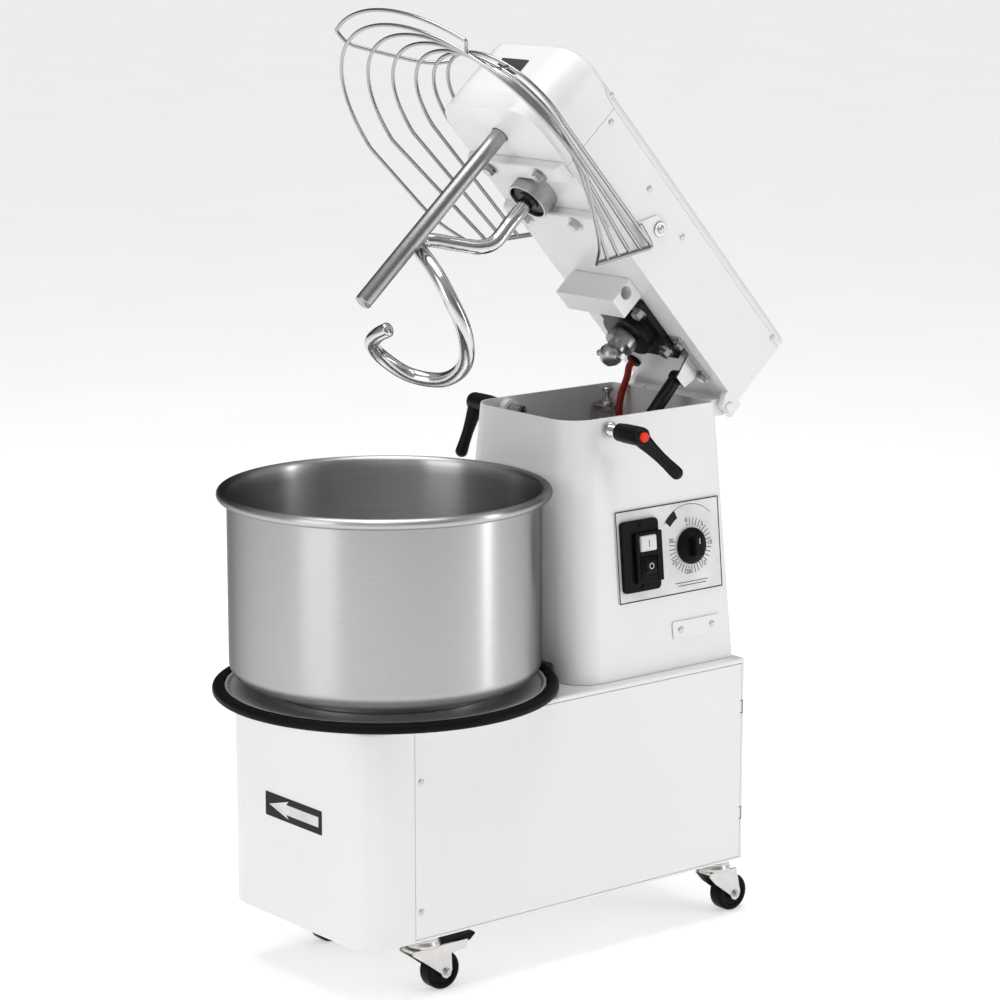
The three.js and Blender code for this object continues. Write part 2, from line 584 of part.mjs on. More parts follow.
function addStrut(machine, head) {
  const s = STRUT;
  const plate = box(50, 68, -110, -35, HEAD.under - GAP - 3, HEAD.under - GAP);
  const earTip = s.upHeight - 6;
  const ear = sidePlate([[-s.upReach - 16, 10], [-s.upReach - 9, earTip],
    [-s.upReach + 9, earTip], [-s.upReach + 16, 10]], 58, 61);
  const stud = axle(42, 60, -s.upReach, s.upHeight, 4);
  place(head, "strut_head_bracket", plate.add(ear).add(stud), STEEL);

  const top = headToWorld(s.x, s.upReach, s.upHeight);
  const low = V(s.x, s.lowY, s.lowZ);
  const along = low.clone().sub(top).normalize();
  const at = (distance) => top.clone().addScaledVector(along, distance);
  const eye = (centre, inner, outer) => {
    const hole = axle(s.x - 7, s.x + 7, centre.y, centre.z, inner);
    return axle(s.x - 5, s.x + 5, centre.y, centre.z, outer).subtract(hole);
  };
  const lowEye = 9.5;
  const cylinderEnd = 150;
  const cylinder = bar([at(8), at(cylinderEnd)], 8.5, 12)
    .subtract(bar([at(46), at(cylinderEnd + 5)], 5, 8))
    .add(eye(top, 4.5, 9)).subtract(axle(s.x - 12, s.x + 12, top.y, top.z, 4.5));
  place(machine, "strut_cylinder", cylinder, BLACK);
  const span = low.distanceTo(top);
  const rod = bar([at(100), at(span - lowEye - 1)], 4, 8);
  place(machine, "strut_rod", rod.add(eye(low, lowEye, 13.5)), CHROME);

  const wallY = 197.5;
  const bracket = box(40, 64, wallY, wallY + 3, s.lowZ - 20, s.lowZ + 20)
    .add(sidePlate([[wallY, s.lowZ - 18], [s.lowY + 4, s.lowZ - 8], [s.lowY + 8, s.lowZ],
      [s.lowY + 4, s.lowZ + 8], [wallY, s.lowZ + 18]], 58, 61))
    .add(axle(42, 60, s.lowY, s.lowZ, 3.5));
  place(machine, "strut_lower_bracket", bracket, STEEL);
}

// ---- Cable from the column to the head ---------------------------------------------------

function addCable(machine) {
  const top = headToWorld(-62, 46, HEAD.under - 0.6);
  const bend = [V(-62, 424, 648), V(-62, 414, 625), V(-62, 411, 600)];
  const route = [top, headToWorld(-62, 46, 0), ...bend, V(-62, 410, 540)];
  place(machine, "head_cable", bar(smooth(route, 12), 4.5, 8), RED);
}

// ---- Head locks, one on each side of the column ------------------------------------------

function addLocks(machine) {
  const ends = { right: V(165, 309, 571), left: V(-162, 239, 555) };
  for (const [side, sign] of [["right", 1], ["left", -1]]) {
    const span = (a, b) => [Math.min(sign * a, sign * b), Math.max(sign * a, sign * b)];
    const along = (a, b, radius, segments = 16) => axle(...span(a, b), LOCK.y, LOCK.z, radius, segments);
    place(machine, `lock_pin_${side}`, along(LOCK.inner, LOCK.hubStart - GAP, LOCK.pin), CHROME);
    const root = V(sign * 150, LOCK.y, LOCK.z);
    const tip = ends[side];
    const grip = root.clone().lerp(tip, 0.35);
    const handle = along(LOCK.hubStart, LOCK.hubEnd, LOCK.hub, 20)
      .add(bar([root, tip], 5, 8))
      .add(bar([grip, tip], 7, 12))
      .subtract(along(147, 170, 7));
    place(machine, `lock_handle_${side}`, handle, BLACK);
    place(machine, `lock_button_${side}`, along(152, 162, 6), RED);
  }
}

// ---- Castors ------------------------------------------------------------------------------

function addCastor(machine, name, x, y, braked) {
  const axleY = y + CASTOR.trail;
  const axleZ = CASTOR.wheel;
  const lip = braked ? 24 : 18;
  const plateZ = 56;
  const brakeEar = [[axleY + 7, 44], [axleY + 29, 45], [axleY + 31, plateZ]];
  const rearEdge = braked ? brakeEar : [[axleY + 1, plateZ]];
  const cheek = [[y - lip, plateZ], [y - lip, plateZ - 5], [y - 8, 40], [axleY - 8, axleZ - 1],
    [axleY - 5.5, axleZ - 6], [axleY, axleZ - 8.5], [axleY + 5.5, axleZ - 6],
    [axleY + 8, axleZ + 1], ...rearEdge];
  const crown = floorPlate([[x - 8, y - lip], [x + 8, y - lip], [x + 14, y - lip + 6],
    [x + 14, y + 17], [x - 14, y + 17], [x - 14, y - lip + 6]], plateZ - 3, plateZ);
  const fork = join([sidePlate(cheek, x + 11.5, x + 14), sidePlate(cheek, x - 14, x - 11.5), crown,
    axle(x - 16.5, x + 16.5, axleY, axleZ, CASTOR.axle, 16)]);
  place(machine, `castor_fork_${name}`, fork, ZINC);

  const half = CASTOR.tread / 2;
  const flats = 24;
  const r = CASTOR.wheel / Math.cos(Math.PI / flats);
  const profile = [[5, -half - 0.8], [9, -half], [r - 3, -half], [r, -half + 4],
    [r, half - 4], [r - 3, half], [9, half], [5, half + 0.8], [5, -half - 0.8]];
  const geometry = new THREE.LatheGeometry(profile.map(([a, b]) => new THREE.Vector2(a, b)), flats);
  geometry.rotateY(Math.PI / flats);
  geometry.rotateZ(Math.PI / 2);
  geometry.translate(x, axleY, axleZ);
  place(machine, `castor_wheel_${name}`, toSolid(geometry), BLACK);

  if (braked) {
    const pedal = [[y + 23, 50], [y + 23, 54], [y + 40, 58], [y + 60, 61], [y + 67, 61.5],
      [y + 69, 59], [y + 61, 52.5], [y + 40, 51], [y + 33, 49]];
    place(machine, `castor_pedal_${name}`, sidePlate(pedal, x - 11, x + 11), BLACK);
  }
}

function addCastors(machine) {
  for (const [side, x] of [["right", CASTOR.x], ["left", -CASTOR.x]]) {
    addCastor(machine, `front_${side}`, x, CASTOR.frontY, true);
    addCastor(machine, `rear_${side}`, x, CASTOR.rearY, false);
  }
}

// ---- Assembly -------------------------------------------------------------------------------

function build() {
  const machine = new THREE.Group();
  machine.name = "spiral_mixer";
  addBase(machine);
  addColumn(machine);
  addControls(machine);
  addTurntable(machine);
  addBowl(machine);
  addDrive(machine);
  addLocks(machine);
  addCable(machine);
  addCastors(machine);

  const head = new THREE.Group();
  head.position.set(0, PIVOT.y, PIVOT.z);
  head.rotation.x = -THREE.MathUtils.degToRad(OPEN_ANGLE);
  machine.add(head);
  addHeadCasing(head);
  addHeadUnderside(head);
  addSpiral(head);
  addInputShaft(head);
  addGuard(head);
  addStrut(machine, head);

  machine.updateMatrixWorld(true);
  const bounds = new THREE.Box3().setFromObject(machine, true);
  machine.position.y = -Math.round(5 * (bounds.min.y + bounds.max.y)) / 10;
  const root = new THREE.Group();
  root.add(machine);
  root.updateMatrixWorld(true);
  return root;
}

export default build();
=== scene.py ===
"""Looks of a tilting-head spiral dough mixer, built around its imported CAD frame. Metres, +Z up."""

import json
import math

import bmesh
import bpy
from mathutils import Matrix, Vector

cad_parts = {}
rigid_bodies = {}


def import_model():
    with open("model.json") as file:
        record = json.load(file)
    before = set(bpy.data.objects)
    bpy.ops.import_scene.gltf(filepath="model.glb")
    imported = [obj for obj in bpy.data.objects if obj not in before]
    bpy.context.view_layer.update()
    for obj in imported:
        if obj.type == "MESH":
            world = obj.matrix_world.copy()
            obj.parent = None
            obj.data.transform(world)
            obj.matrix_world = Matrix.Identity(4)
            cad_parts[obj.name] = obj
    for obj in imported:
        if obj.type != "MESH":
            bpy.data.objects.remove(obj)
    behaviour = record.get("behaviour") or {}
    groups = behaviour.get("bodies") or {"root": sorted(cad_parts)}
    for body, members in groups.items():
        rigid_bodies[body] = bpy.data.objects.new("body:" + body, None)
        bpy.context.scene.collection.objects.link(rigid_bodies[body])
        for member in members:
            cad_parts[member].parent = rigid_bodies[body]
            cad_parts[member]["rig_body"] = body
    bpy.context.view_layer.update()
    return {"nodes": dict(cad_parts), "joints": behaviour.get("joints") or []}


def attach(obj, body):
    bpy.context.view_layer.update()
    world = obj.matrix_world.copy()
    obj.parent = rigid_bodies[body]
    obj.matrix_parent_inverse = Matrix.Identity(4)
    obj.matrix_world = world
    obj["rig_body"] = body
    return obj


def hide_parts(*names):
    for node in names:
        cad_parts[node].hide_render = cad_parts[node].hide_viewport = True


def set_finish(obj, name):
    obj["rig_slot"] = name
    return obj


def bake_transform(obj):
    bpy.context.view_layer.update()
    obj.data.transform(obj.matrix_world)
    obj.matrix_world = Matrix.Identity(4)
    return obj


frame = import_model()
MM = 0.001

# ---- Places, worked out from the frame -------------------------------------------------------

JOINT = {j["name"]: j for j in frame["joints"]}
PIVOT = Vector(JOINT["head_tilt"]["pos_m"])
# Angle of the open head above level, and the head's own axes at that angle.
OPEN = math.radians(48.34)
FORWARD = Vector((0, -math.cos(OPEN), math.sin(OPEN)))
UP = Vector((0, math.sin(OPEN), math.cos(OPEN)))
SIDE = Vector((1, 0, 0))
VERTICAL = Vector((0, 0, 1))
BOWL_AXIS = Vector(JOINT["turntable_spin"]["pos_m"])
HEAD_MATRIX = Matrix.Translation(PIVOT) @ Matrix((SIDE, -FORWARD, UP)).transposed().to_4x4()

# The column's right wall: distance from the middle and height at its foot and at its top.
WALL_HALF = 0.1255
WALL_LOW = 0.3277
WALL_TOP_HALF = 0.0948
WALL_TOP = 0.6375
WALL_LEAN = math.atan((WALL_HALF - WALL_TOP_HALF) / (WALL_TOP - WALL_LOW))
WALL_OUT = Vector((math.cos(WALL_LEAN), 0, math.sin(WALL_LEAN)))
WALL_UP = Vector((-math.sin(WALL_LEAN), 0, math.cos(WALL_LEAN)))


def head_point(x, forward, up):
    """Point in the head's own axes, in mm from the hinge: across, towards the nose, up."""
    return PIVOT + SIDE * x * MM + FORWARD * forward * MM + UP * up * MM


def bowl_point(x, y, z):
    """Point in mm from the bowl's axis at floor level."""
    return Vector((BOWL_AXIS.x + x * MM, BOWL_AXIS.y + y * MM, z * MM))


def wall_point(out, y, up, sign=1):
    """Point on the column's leaning side: out of the wall, along the machine, up the wall, in mm."""
    x = WALL_HALF + out * MM * math.cos(WALL_LEAN) - up * MM * math.sin(WALL_LEAN)
    z = WALL_LOW + out * MM * math.sin(WALL_LEAN) + up * MM * math.cos(WALL_LEAN)
    return Vector((sign * x, BOWL_AXIS.y + y * MM, z))


# ---- Materials -------------------------------------------------------------------------------


class Shader:
    """Small helper to wire one principled material."""

    def __init__(self, name):
        self.material = bpy.data.materials.new(name)
        self.material.use_nodes = True
        self.tree = self.material.node_tree
        self.principled = self.tree.nodes["Principled BSDF"]
        self.place = self.node("ShaderNodeTexCoord").outputs["Object"]

    def node(self, kind, **inputs):
        made = self.tree.nodes.new(kind)
        for key, value in inputs.items():
            made.inputs[key.replace("_", " ")].default_value = value
        return made

    def link(self, source, target):
        self.tree.links.new(source, target)

    def set(self, **values):
        """Sets constant sockets of the principled shader; an underscore stands for a space."""
        for key, value in values.items():
            self.principled.inputs[key.replace("_", " ")].default_value = value
        return self

    def noise(self, scale, detail=4.0, stretch=(1, 1, 1), rough=0.5):
        """Noise in object space, stretched along the axes."""
        mapping = self.node("ShaderNodeMapping")
        mapping.inputs["Scale"].default_value = stretch
        self.link(self.place, mapping.inputs["Vector"])
        made = self.node("ShaderNodeTexNoise", Scale=scale, Detail=detail, Roughness=rough)
        self.link(mapping.outputs["Vector"], made.inputs["Vector"])
        return made.outputs["Fac"]

    def ramp(self, factor, low, high):
        """Colour from low to high over the middle of the factor's range."""
        made = self.node("ShaderNodeValToRGB")
        made.color_ramp.elements[0].position = 0.3
        made.color_ramp.elements[0].color = low
        made.color_ramp.elements[1].position = 0.7
        made.color_ramp.elements[1].color = high
        self.link(factor, made.inputs["Fac"])
        return made.outputs["Color"]

    def span(self, factor, low, high):
        """Value from low to high as the factor goes from 0 to 1."""
        made = self.node("ShaderNodeMapRange")
        made.inputs["To Min"].default_value = low
        made.inputs["To Max"].default_value = high
        self.link(factor, made.inputs["Value"])
        return made.outputs["Result"]

    def bump(self, height, strength, distance):
        made = self.node("ShaderNodeBump", Strength=strength, Distance=distance)
        self.link(height, made.inputs["Height"])
        self.link(made.outputs["Normal"], self.principled.inputs["Normal"])


def grey(value, warm=0.0):
    """Grey with an optional slight warmth."""
    return (value * (1 + warm), value, value * (1 - warm), 1)


def powder_coat(name, value, warm):
    """Satin powder coat with a fine orange-peel texture."""
    s = Shader(name).set(Coat_Weight=0.25, Coat_Roughness=0.25, Specular_IOR_Level=0.5)
    broad = s.noise(6, 3)
    s.link(s.ramp(broad, grey(value * 0.975, warm), grey(value, warm)), s.principled.inputs["Base Color"])
    s.link(s.span(s.noise(18, 4), 0.3, 0.42), s.principled.inputs["Roughness"])
    s.bump(s.noise(900, 2), 0.12, 0.0002)
    return s.material


def worked_metal(name, value, rough, stretch, scale, grain=0.25, warm=0.0):
    """Metal with fine directional marks: stretch says along which axes they run."""
    s = Shader(name).set(Metallic=1.0)
    lines = s.noise(scale, 6, stretch, 0.65)
    s.link(s.ramp(lines, grey(value * 0.86, warm), grey(value, warm)), s.principled.inputs["Base Color"])
    s.link(s.span(lines, rough - 0.05, rough + 0.05), s.principled.inputs["Roughness"])
    s.bump(lines, grain, 0.00008)
    return s.material


# How fast the brush marks change round the bowl, in metres of noise for each radian.
BRUSH_WANDER = 0.006


def brushed_round(name, value, rough, scale, edge):
    """Metal brushed round the bowl's axis: marks follow height and radius, and wander slowly round it."""
    s = Shader(name).set(Metallic=1.0, Anisotropic=0.85, Anisotropic_Rotation=0.25)
    # The edge colour tints grazing reflections: a dark edge is painted shade in them, a light edge is painted
    # light.
    s.set(Specular_Tint=grey(edge))
    shift = s.node("ShaderNodeVectorMath")
    shift.operation = "SUBTRACT"
    shift.inputs[1].default_value = (0, BOWL_AXIS.y, 0)
    s.link(s.place, shift.inputs[0])
    parts = s.node("ShaderNodeSeparateXYZ")
    s.link(shift.outputs["Vector"], parts.inputs["Vector"])
    flat = s.node("ShaderNodeCombineXYZ")
    s.link(parts.outputs["X"], flat.inputs["X"])
    s.link(parts.outputs["Y"], flat.inputs["Y"])
    length = s.node("ShaderNodeVectorMath")
    length.operation = "LENGTH"
    s.link(flat.outputs["Vector"], length.inputs[0])
    turn = s.node("ShaderNodeMath")
    turn.operation = "ARCTAN2"
    s.link(parts.outputs["Y"], turn.inputs[0])
    s.link(parts.outputs["X"], turn.inputs[1])
    slow = s.node("ShaderNodeMath")
    slow.operation = "MULTIPLY"
    slow.inputs[1].default_value = BRUSH_WANDER
    s.link(turn.outputs["Value"], slow.inputs[0])
    marks = s.node("ShaderNodeCombineXYZ")
    s.link(length.outputs["Value"], marks.inputs["X"])
    s.link(slow.outputs["Value"], marks.inputs["Y"])
    s.link(parts.outputs["Z"], marks.inputs["Z"])
    noise = s.node("ShaderNodeTexNoise", Scale=scale, Detail=4.0, Roughness=0.6)
    s.link(marks.outputs["Vector"], noise.inputs["Vector"])
    lines = noise.outputs["Fac"]
    s.link(s.ramp(lines, grey(value * 0.9), grey(value)), s.principled.inputs["Base Color"])
    s.link(s.span(lines, rough - 0.04, rough + 0.05), s.principled.inputs["Roughness"])
    tangent = s.node("ShaderNodeTangent")
    tangent.direction_type = "RADIAL"
    tangent.axis = "Z"
    s.link(tangent.outputs["Tangent"], s.principled.inputs["Tangent"])
    s.bump(lines, 0.1, 0.00001)
    return s.material


def polished(name, value, rough):
    """Plated metal with faint smudges."""
    s = Shader(name).set(Metallic=1.0)
    smudge = s.noise(14, 5)
    s.link(s.ramp(smudge, grey(value * 0.95), grey(value)), s.principled.inputs["Base Color"])
    s.link(s.span(smudge, rough * 0.6, rough * 1.8), s.principled.inputs["Roughness"])
    s.bump(s.noise(160, 3), 0.03, 0.0001)
    return s.material


def moulded(name, colour, rough, texture, strength, shine=0.45):
    """Moulded or coated surface with a fine grain of the given scale and strength."""
    s = Shader(name).set(Specular_IOR_Level=shine)
    broad = s.noise(25, 3)
    dark = tuple(c * 0.8 for c in colour) + (1,)
    s.link(s.ramp(broad, dark, tuple(colour) + (1,)), s.principled.inputs["Base Color"])
    s.link(s.span(broad, rough - 0.05, rough + 0.07), s.principled.inputs["Roughness"])
    s.bump(s.noise(texture, 3), strength, 0.00015)
    return s.material


PAINT = powder_coat("white_powder_coat", 0.82, 0.006)
# Outer bowl steel: dark edge tint, painted shade in its grazing reflections.
BOWL_STEEL = brushed_round("brushed_bowl_steel", 0.5, 0.32, 1500, 0.3)
# Brighter copy of the bowl steel with light edges for the inside: painted light standing in for light
# bouncing inside the bowl.
BOWL_INSIDE_PAINTED_LIGHT = brushed_round("brushed_bowl_inside_painted_light", 0.56, 0.3, 300, 0.8)
DISH_STEEL = worked_metal("dish_steel", 0.78, 0.5, (1, 1, 1), 260)
CHROME = polished("polished_chrome", 0.62, 0.09)
GUARD_CHROME = polished("wire_chrome", 0.42, 0.18)
TURNED = worked_metal("turned_steel", 0.5, 0.3, (1, 1, 1), 320)
GROUND_BAR = worked_metal("ground_bar_steel", 0.42, 0.3, (0.15, 1, 1), 240)
ZINC = worked_metal("zinc_plate", 0.62, 0.32, (1, 1, 1), 90, 0.2, 0.02)
SCREW_STEEL = worked_metal("screw_steel", 0.62, 0.38, (1, 1, 1), 400, 0.2, 0.01)
BOLT_STEEL = worked_metal("bolt_steel", 0.52, 0.28, (1, 1, 1), 400, 0.2, 0.015)
RUBBER = moulded("black_rubber", (0.005, 0.005, 0.005), 0.5, 350, 0.3, 0.08)
BLACK = moulded("black_plastic", (0.005, 0.005, 0.0055), 0.4, 700, 0.15, 0.08)
LEVER_BLACK = moulded("lever_coating", (0.006, 0.006, 0.0065), 0.34, 500, 0.25, 0.14)
WHEEL_BLACK = moulded("wheel_plastic", (0.004, 0.004, 0.0045), 0.36, 420, 0.1, 0.08)
RED = moulded("red_plastic", (0.86, 0.035, 0.008), 0.32, 700, 0.1, 0.25)
RED_CABLE = moulded("red_cable_skin", (0.3, 0.018, 0.008), 0.42, 900, 0.2, 0.25)
WHITE_KEY = moulded("white_key", (0.8, 0.8, 0.78), 0.3, 600, 0.05)
BLACK_METAL = moulded("black_painted_metal", (0.008, 0.008, 0.009), 0.34, 500, 0.2, 0.25)
MOTOR_GREY = moulded("motor_enamel", (0.22, 0.23, 0.24), 0.5, 200, 0.3)
LABEL = moulded("label_face", (0.83, 0.83, 0.83), 0.4, 800, 0.05)
# Black for print; the latch slots' strips use it too, as painted shade in the cut.
INK_AND_SLOT_SHADE = moulded("label_ink_and_slot_shade", (0.008, 0.008, 0.009), 0.5, 800, 0.05, 0.2)
PLATE_GREY = moulded("blank_plate", (0.05, 0.05, 0.055), 0.3, 600, 0.1)

# ---- Mesh helpers ----------------------------------------------------------------------------


def finish_object(name, data, material, body, slot=None):
    """Links a mesh as a piece; body None leaves it free, for a piece that bends between two bodies."""
    made = bpy.data.objects.new(name, data)
    bpy.context.scene.collection.objects.link(made)
    data.materials.append(material)
    if body:
        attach(made, body)
    if slot:
        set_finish(made, slot)
    return made


def smooth_by_angle(made, degrees):
    """Smooth shading, with edges sharper than the given angle kept crisp."""
    data = made.data
    for polygon in data.polygons:
        polygon.use_smooth = True
    sharp = data.attributes.get("sharp_edge") or data.attributes.new("sharp_edge", "BOOLEAN", "EDGE")
    bm = bmesh.new()
    bm.from_mesh(data)
    limit = math.radians(degrees)
    flags = []
    for edge in bm.edges:
        flags.append(len(edge.link_faces) == 2 and edge.calc_face_angle(0) > limit)
    bm.free()
    sharp.data.foreach_set("value", flags)


def bevel(made, width, segments=2):
    """Softens the edges by width in mm and keeps flat faces flat."""
    modifier = made.modifiers.new("soft_edges", "BEVEL")
    modifier.width = width * MM
    modifier.segments = segments
    modifier.limit_method = "ANGLE"
    modifier.angle_limit = math.radians(40)
    weighted = made.modifiers.new("flat_faces_stay_flat", "WEIGHTED_NORMAL")
    weighted.keep_sharp = True


def from_bmesh(name, bm, material, body, slot, angle):
    """Turns a bmesh into a piece; angle 0 leaves it flat shaded, as a printed mark is."""
    bmesh.ops.recalc_face_normals(bm, faces=bm.faces)
    data = bpy.data.meshes.new(name)
    bm.to_mesh(data)
    bm.free()
    made = finish_object(name, data, material, body, slot)
    if angle:
        smooth_by_angle(made, angle)
    return made


def spin(bm, profile, matrix, segments):
    """Turns (radius, height) points in mm round the matrix's Z axis and caps an open profile."""
    rings = []
    for i in range(segments):
        angle = 2 * math.pi * i / segments
        ring = []
        for radius, height in profile:
            point = Vector((radius * math.cos(angle), radius * math.sin(angle), height)) * MM
            ring.append(bm.verts.new(matrix @ point))
        rings.append(ring)
    count = len(profile)
    for i in range(segments):
        a = rings[i]
        b = rings[(i + 1) % segments]
        for j in range(count - 1):
            bm.faces.new((a[j], b[j], b[j + 1], a[j + 1]))
    for end in (0, count - 1):
        if profile[end][0] > 0.001:
            loop = [ring[end] for ring in rings]
            if profile[0] != profile[-1]:
                bm.faces.new(loop)
    bmesh.ops.remove_doubles(bm, verts=bm.verts, dist=1e-6)


def aim(origin, direction):
    """Matrix whose Z axis points along direction."""
    z = direction.normalized()
    hint = VERTICAL if abs(z.dot(VERTICAL)) < 0.95 else SIDE
    x = hint.cross(z).normalized()
    y = z.cross(x)
    return Matrix.Translation(origin) @ Matrix((x, y, z)).transposed().to_4x4()


def turned(name, profile, origin, direction, material, body, slot, segments=64, angle=35):
    """Piece turned from (radius, height) points in mm round an axis."""
    bm = bmesh.new()
    spin(bm, profile, aim(origin, direction), segments)
    return from_bmesh(name, bm, material, body, slot, angle)


def prism(bm, outline, matrix, height):
    """Closed prism over [x, y] points in mm, from the matrix's plane up by height in mm."""
    low = [bm.verts.new(matrix @ Vector((x * MM, y * MM, 0))) for x, y in outline]
    high = [bm.verts.new(matrix @ Vector((x * MM, y * MM, height * MM))) for x, y in outline]
    bm.faces.new(list(reversed(low)))
    bm.faces.new(high)
    for i in range(len(outline)):
        j = (i + 1) % len(outline)
        bm.faces.new((low[i], low[j], high[j], high[i]))


def arc(radius, start, end, steps, centre=(0, 0)):
    """Points in mm along an arc between two angles in degrees."""
    points = []
    for i in range(steps + 1):
        angle = math.radians(start + (end - start) * i / steps)
        points.append((centre[0] + radius * math.cos(angle), centre[1] + radius * math.sin(angle)))
    return points


def strip(half_width, half_height, x=0.0, y=0.0):
    """Outline in mm of a plain rectangle round (x, y)."""
    return [(x - half_width, y - half_height), (x + half_width, y - half_height),
            (x + half_width, y + half_height), (x - half_width, y + half_height)]


def rounded_rectangle(half_width, half_height, radius, steps=6):
    """Outline in mm of a rectangle with rounded corners."""
    points = []
    for sx, sy, start in ((1, 1, 0), (-1, 1, 90), (-1, -1, 180), (1, -1, 270)):
        centre = (sx * (half_width - radius), sy * (half_height - radius))
        points += arc(radius, start, start + 90, steps, centre)
    return points


def rod(name, points, radius, material, body, slot, resolution=4):
    """Round bar along points in metres, as a bevelled curve turned into a mesh with closed ends."""
    data = bpy.data.curves.new(name, "CURVE")
    data.dimensions = "3D"
    spline = data.splines.new("POLY")
    spline.points.add(len(points) - 1)
    for target, point in zip(spline.points, points):
        target.co = (*point, 1)
    data.bevel_depth = radius * MM
    data.bevel_resolution = resolution
    data.use_fill_caps = True
    made = bpy.data.objects.new(name, data)
    bpy.context.scene.collection.objects.link(made)
    mesh = bpy.data.meshes.new_from_object(made)
    bpy.data.objects.remove(made)
    piece = finish_object(name, mesh, material, body, slot)
    smooth_by_angle(piece, 50)
    return piece


def catmull(points, steps):
    """Smooth list through given points."""
    padded = [points[0] * 2 - points[1]] + list(points) + [points[-1] * 2 - points[-2]]
    path = []
    for i in range(1, len(padded) - 2):
        a, b, c, d = padded[i - 1:i + 3]
        for k in range(steps):
            t = k / steps
            path.append(0.5 * ((2 * b) + (c - a) * t + (2 * a - 5 * b + 4 * c - d) * t ** 2
                               + (3 * b - a - 3 * c + d) * t ** 3))
    path.append(points[-1])
    return path


def join_pieces(name, made):
    """Joins several mesh objects on one body into the first."""
    first = made[0]
    bm = bmesh.new()
    for piece in made:
        bm.from_mesh(piece.data)
    material = first.data.materials[0]
    body = first["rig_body"]
    slot = first.get("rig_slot")
    for piece in made:
        bpy.data.objects.remove(piece)
    data = bpy.data.meshes.new(name)
    bm.to_mesh(data)
    bm.free()
    joined = finish_object(name, data, material, body, slot)
    smooth_by_angle(joined, 40)
    return joined


# ---- Fasteners -------------------------------------------------------------------------------


def add_pan_head(bm, origin, direction, radius=3.2, height=2.0):
    """Domed screw head with a fine cross on its crown."""
    matrix = aim(origin, direction)
    dome = [(0.0, height)]
    for i in range(1, 6):
        angle = math.radians(90 - 78 * i / 5)
        dome.append((radius * math.cos(angle), height * math.sin(angle)))
    spin(bm, dome + [(radius, 0.0), (0.0, 0.0)], matrix, 20)
    for turn in (0, 90):
        slot_matrix = matrix @ Matrix.Translation((0, 0, (height - 0.2) * MM))
        slot_matrix = slot_matrix @ Matrix.Rotation(math.radians(turn + 20), 4, "Z")
        prism(bm, strip(radius * 0.55, 0.35), slot_matrix, 0.3)


def add_hex_bolt(bm, origin, direction, across=13.0, height=7.0, turn=0.0):
    """Hexagon head with a stepped top on a round washer."""
    matrix = aim(origin, direction)
    washer = 1.4
    spin(bm, [(0, 0), (across * 0.78, 0), (across * 0.78, washer), (0, washer)], matrix, 32)
    base = matrix @ Matrix.Rotation(math.radians(turn), 4, "Z")
    hexagon = arc(across / math.sqrt(3), 0, 300, 5)
    prism(bm, hexagon, base @ Matrix.Translation((0, 0, washer * MM)), height - 1)
    top = [(x * 0.86, y * 0.86) for x, y in hexagon]
    prism(bm, top, base @ Matrix.Translation((0, 0, (washer + height - 1) * MM)), 1)


def fasteners(name, body, adder, spots, material=None, slot="zinc_steel"):
    """Group of equal screws or bolts in their own steel, unless another material is given."""
    if material is None:
        material = SCREW_STEEL if adder is add_pan_head else BOLT_STEEL
    bm = bmesh.new()
    for origin, direction, options in spots:
        adder(bm, origin, direction, **options)
    return from_bmesh(name, bm, material, body, slot, 30)


# ---- Carried-over CAD nodes ------------------------------------------------------------------

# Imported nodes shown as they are: material, and width in mm of the softened edge.
CARRIED = {
    "base_shell": (PAINT, 0.8), "base_side_panel_right": (PAINT, 0.6),
    "base_side_panel_left": (PAINT, 0.6), "base_floor_plate": (ZINC, 0.5),
    "column_shell": (PAINT, 0.6), "column_access_plate": (PAINT, 0.5),
    "control_panel_plate": (LABEL, 0.3), "head_body": (PAINT, 0.8),
    "head_cover": (PAINT, 0.8), "head_nose_cap": (PAINT, 0.8), "head_crossbar_front": (PAINT, 0.8),
    "head_crossbar_rear": (PAINT, 0.8), "lock_block": (PAINT, 2.0), "hinge_pin": (PAINT, 0.8),
    "motor_housing": (MOTOR_GREY, 1.0), "motor_pulley": (TURNED, 0.5), "lay_shaft": (TURNED, 0.5),
    "drive_belt": (RUBBER, 0.4), "bowl_drive_chain": (ZINC, 0.4), "head_chain": (ZINC, 0.4),
    "coupling_cup": (TURNED, 0.5), "turntable": (DISH_STEEL, 0.4), "spiral_collar": (TURNED, 0.6),
    "spiral_spindle": (BLACK_METAL, 0.6), "strut_head_bracket": (TURNED, 0.4),
    "strut_lower_bracket": (TURNED, 0.4), "guard_plate_right": (PAINT, 0.5),
    "guard_plate_left": (PAINT, 0.5),
    "strut_cylinder": (BLACK_METAL, 0.3), "strut_rod": (CHROME, 0.3),
    "castor_pedal_front_right": (BLACK, 0.8), "castor_pedal_front_left": (BLACK, 0.8),
    "input_shaft": (TURNED, 0.5), "flange_bearing": (BLACK_METAL, 1.0),
}


def dress_node(name, material, width):
    """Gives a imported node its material, welds its split corners for shading and softens its edges."""
    node = frame["nodes"][name]
    data = node.data
    data.materials.clear()
    data.materials.append(material)
    for polygon in data.polygons:
        polygon.material_index = 0
        polygon.use_smooth = True
    stored = data.attributes.get("custom_normal")
    if stored:
        data.attributes.remove(stored)
    weld = node.modifiers.new("joined_corners", "WELD")
    weld.merge_threshold = 0.005 * MM
    bevel(node, width)


def dress_cad():
    """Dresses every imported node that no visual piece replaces, except the castor forks."""
    for name, (material, width) in CARRIED.items():
        dress_node(name, material, width)


# ---- Bowl, turntable trim --------------------------------------------------------------------


